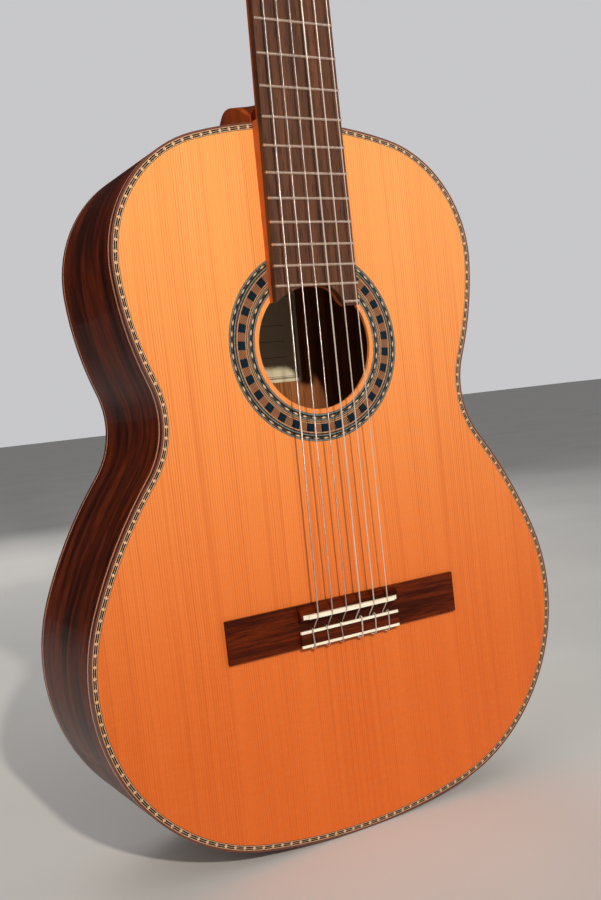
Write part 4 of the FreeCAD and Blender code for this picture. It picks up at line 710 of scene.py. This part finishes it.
# ---------------------------------------------------------------- rosette
# Outer and inner radius in millimetres.
ROSETTE_RINGS = (
    (65.5, 65.2, BLACK), (65.2, 64.3, GREY_BLUE), (64.3, 63.95, BLACK), (62.75, 61.8, BLACK),
    (61.8, 61.0, GREY_BLUE), (61.0, 60.7, BLACK), (60.7, 60.0, BROWN), (60.0, 59.2, TAN),
    (53.6, 52.9, TAN), (52.9, 52.3, BROWN), (52.3, 51.6, TAN), (51.6, 51.2, BLACK),
    (51.2, 50.6, GREY_BLUE), (50.6, 50.25, BLACK), (48.95, 48.0, BLACK), (48.0, 47.0, GREY_BLUE),
    (47.0, 46.8, BLACK),
)
# Name, radius, width and number of dashes in each row.
ROSETTE_ROPES = (
    ("rosette_outer_rope", 63.35 * MM, 1.2 * MM, 54),
    ("rosette_inner_rope", 49.6 * MM, 1.3 * MM, 42),
)
TILE_PAIRS = 31
TILE_RADIUS = 56.4 * MM
TILE_HALF_WIDTH = 2.8 * MM


def build_rosette():
    """Rings of veneer, two rope rings and a band of navy and brown mosaic tiles."""
    for index, (outer, inner, material) in enumerate(ROSETTE_RINGS):
        track = Circle(outer * MM)
        ring = band(track, (inner - outer) * MM, 0.0, steps=360)
        piece(f"rosette_ring_{index}", *ring, material, "inlay")
    for name, radius, width, dashes in ROSETTE_ROPES:
        rope(name, Circle(radius), 0.0, width, dashes, 0.6, 0.04)
    track = Circle(TILE_RADIUS)
    pitch = track.length / TILE_PAIRS

    def tiles(first):
        """Every second tile, as long as its gaps, the first centred at a distance along."""
        middles = (index * pitch + first for index in range(TILE_PAIRS))
        return gathered([band(track, -TILE_HALF_WIDTH, TILE_HALF_WIDTH, middle - pitch / 4,
                              middle + pitch / 4, steps=6) for middle in middles])

    navy = piece("rosette_navy_tiles", *tiles(0.0), NAVY_TILE, "inlay")
    piece("rosette_brown_tiles", *tiles(pitch / 2), BROWN_TILE, "inlay")
    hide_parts("rosette")


build_purfling()
build_rosette()


# ---------------------------------------------------------------- string windings
HEAD_AXES = Matrix.Rotation(-HEAD_TILT, 3, "X")
ROLLER_CLEARANCE = 0.05 * MM
TURN_STEPS = 34


def build_winding(number):
    """Turns of string on the roller, from where the straight string meets it to the hole in the roller.

    The two middle strings come in from the centre of the head, so their turns run outwards.
    """
    wound = number >= FIRST_WOUND
    side = -1 if wound else 1
    radius = STRING_RADIUS[number] * MM
    string_low, string_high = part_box(f"string_{number}")
    joint = next(joint for joint in frame["joints"] if joint["name"] == f"roller_{number}_turn")
    axis_point = Vector(joint["pos_m"])
    start_x = string_low.x + radius if side < 0 else string_high.x - radius
    reach = ROLLER_RADIUS + radius + ROLLER_CLEARANCE
    outward = number in (3, 4)
    turns = 3.25 if outward else 4.25
    advance = (side if outward else -side) * 2.1 * radius
    path = []
    for step in range(int(turns * TURN_STEPS) + 1):
        angle = 2 * math.pi * step / TURN_STEPS
        around = HEAD_AXES @ Vector((0, -math.cos(angle), math.sin(angle))) * reach
        path.append(Vector((start_x + advance * step / TURN_STEPS, axis_point.y, axis_point.z)) + around)
    # The end goes down into the roller.
    last = path[-1]
    centre = Vector((last.x, axis_point.y, axis_point.z))
    path += [last.lerp(centre, share) for share in (0.25, 0.55)]
    wire, slot = (WOUND, "wound_string") if wound else (NYLON, "plain_string")
    tube(f"string_winding_{number}", path, radius, wire, slot, f"roller_{number}")


for number in STRINGS:
    build_winding(number)


# ---------------------------------------------------------------- floor, light and camera
FLOOR_HALF = 40.0


def build_floor():
    """A plain pale floor under the lowest point of the guitar."""
    low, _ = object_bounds()
    corners = [(-FLOOR_HALF, -FLOOR_HALF), (FLOOR_HALF, -FLOOR_HALF), (FLOOR_HALF, FLOOR_HALF),
               (-FLOOR_HALF, FLOOR_HALF)]
    mesh = bpy.data.meshes.new("floor")
    mesh.from_pydata([(x, y, low.z) for x, y in corners], [], [(0, 1, 2, 3)])
    shade = Shade("floor_paper", roughness=0.7)
    tone = shade.noise(shade.stretched(3, 3, 3), detail=3)
    shade.colour(shade.ramp(tone, (0.3, linear(214, 212, 208)), (0.7, linear(222, 220, 216))))
    mesh.materials.append(shade.material)
    floor = bpy.data.objects.new("floor", mesh)
    bpy.context.scene.collection.objects.link(floor)


def place_light(name, kind, place, target, power, colour, **settings):
    """A light at a place, aimed at a target; power is in watts."""
    light = bpy.data.lights.new(name, kind)
    light.energy = power
    light.color = colour
    for setting, given in settings.items():
        setattr(light, setting, given)
    made = bpy.data.objects.new(name, light)
    made.location = place
    made.rotation_euler = (Vector(target) - Vector(place)).to_track_quat("-Z", "Y").to_euler()
    bpy.context.scene.collection.objects.link(made)
    return made


AMBIENT = 0.36
AMBIENT_IN_MIRRORS = 0.05
BACKDROP_EXTRA = 0.36


def build_lights():
    """A warm key from the upper front, dim fills, and a pale backdrop.

    Gloss mirrors a darker backdrop than the camera sees, and of the fills only the right one.
    """
    world = bpy.data.worlds.new("studio")
    world.use_nodes = True
    nodes, links = world.node_tree.nodes, world.node_tree.links
    ray = nodes.new("ShaderNodeLightPath")
    mirrored, backdrop = nodes.new("ShaderNodeMapRange"), nodes.new("ShaderNodeMath")
    mirrored.inputs["To Min"].default_value = AMBIENT
    mirrored.inputs["To Max"].default_value = AMBIENT_IN_MIRRORS
    links.new(ray.outputs["Is Glossy Ray"], mirrored.inputs["Value"])
    backdrop.operation = "MULTIPLY_ADD"
    backdrop.inputs[1].default_value = BACKDROP_EXTRA
    links.new(ray.outputs["Is Camera Ray"], backdrop.inputs[0])
    links.new(mirrored.outputs[0], backdrop.inputs[2])
    nodes["Background"].inputs["Color"].default_value = (0.80, 0.80, 0.82, 1.0)
    links.new(backdrop.outputs[0], nodes["Background"].inputs["Strength"])
    bpy.context.scene.world = world
    place_light("key", "SPOT", (-0.33, -1.6, 1.05), (0.02, 0.0, 0.44), 112, (1.0, 0.93, 0.84),
                shadow_soft_size=0.035, spot_size=math.radians(44), spot_blend=1.0)
    for name, place, power, colour in (("fill_left", (-2.0, -0.5, 0.9), 8, (1.0, 0.94, 0.86)),
                                       ("fill_right", (1.8, -1.4, 1.0), 9, (0.97, 0.98, 1.0)),
                                       ("back", (0.5, 2.0, 1.4), 16, (1.0, 0.98, 0.95))):
        fill = place_light(name, "AREA", place, (0.0, 0.05, 0.4), power, colour, size=1.6)
        fill.visible_glossy = name == "fill_right"


CAMERA_PLACE = (-0.3650, -0.5939, 0.2957)
CAMERA_AZIMUTH = math.radians(30.01)
CAMERA_ELEVATION = math.radians(3.42)
CAMERA_ROLL = math.radians(-6.37)


def build_camera():
    """The viewing angle of the picture: from the bass side, level with the waist, tilted a little."""
    camera = bpy.data.cameras.new("camera")
    camera.sensor_width = 36.0
    camera.lens = 41.02
    camera.shift_x = -0.0010
    camera.shift_y = 0.0201
    made = bpy.data.objects.new("camera", camera)
    turn = Euler((math.pi / 2 - CAMERA_ELEVATION, 0, -CAMERA_AZIMUTH)).to_matrix()
    turn = turn @ Matrix.Rotation(CAMERA_ROLL, 3, "Z")
    made.matrix_world = Matrix.Translation(CAMERA_PLACE) @ turn.to_4x4()
    bpy.context.scene.collection.objects.link(made)
    bpy.context.scene.camera = made


build_floor()
build_lights()
build_camera()
bpy.context.scene.view_settings.view_transform = "Standard"
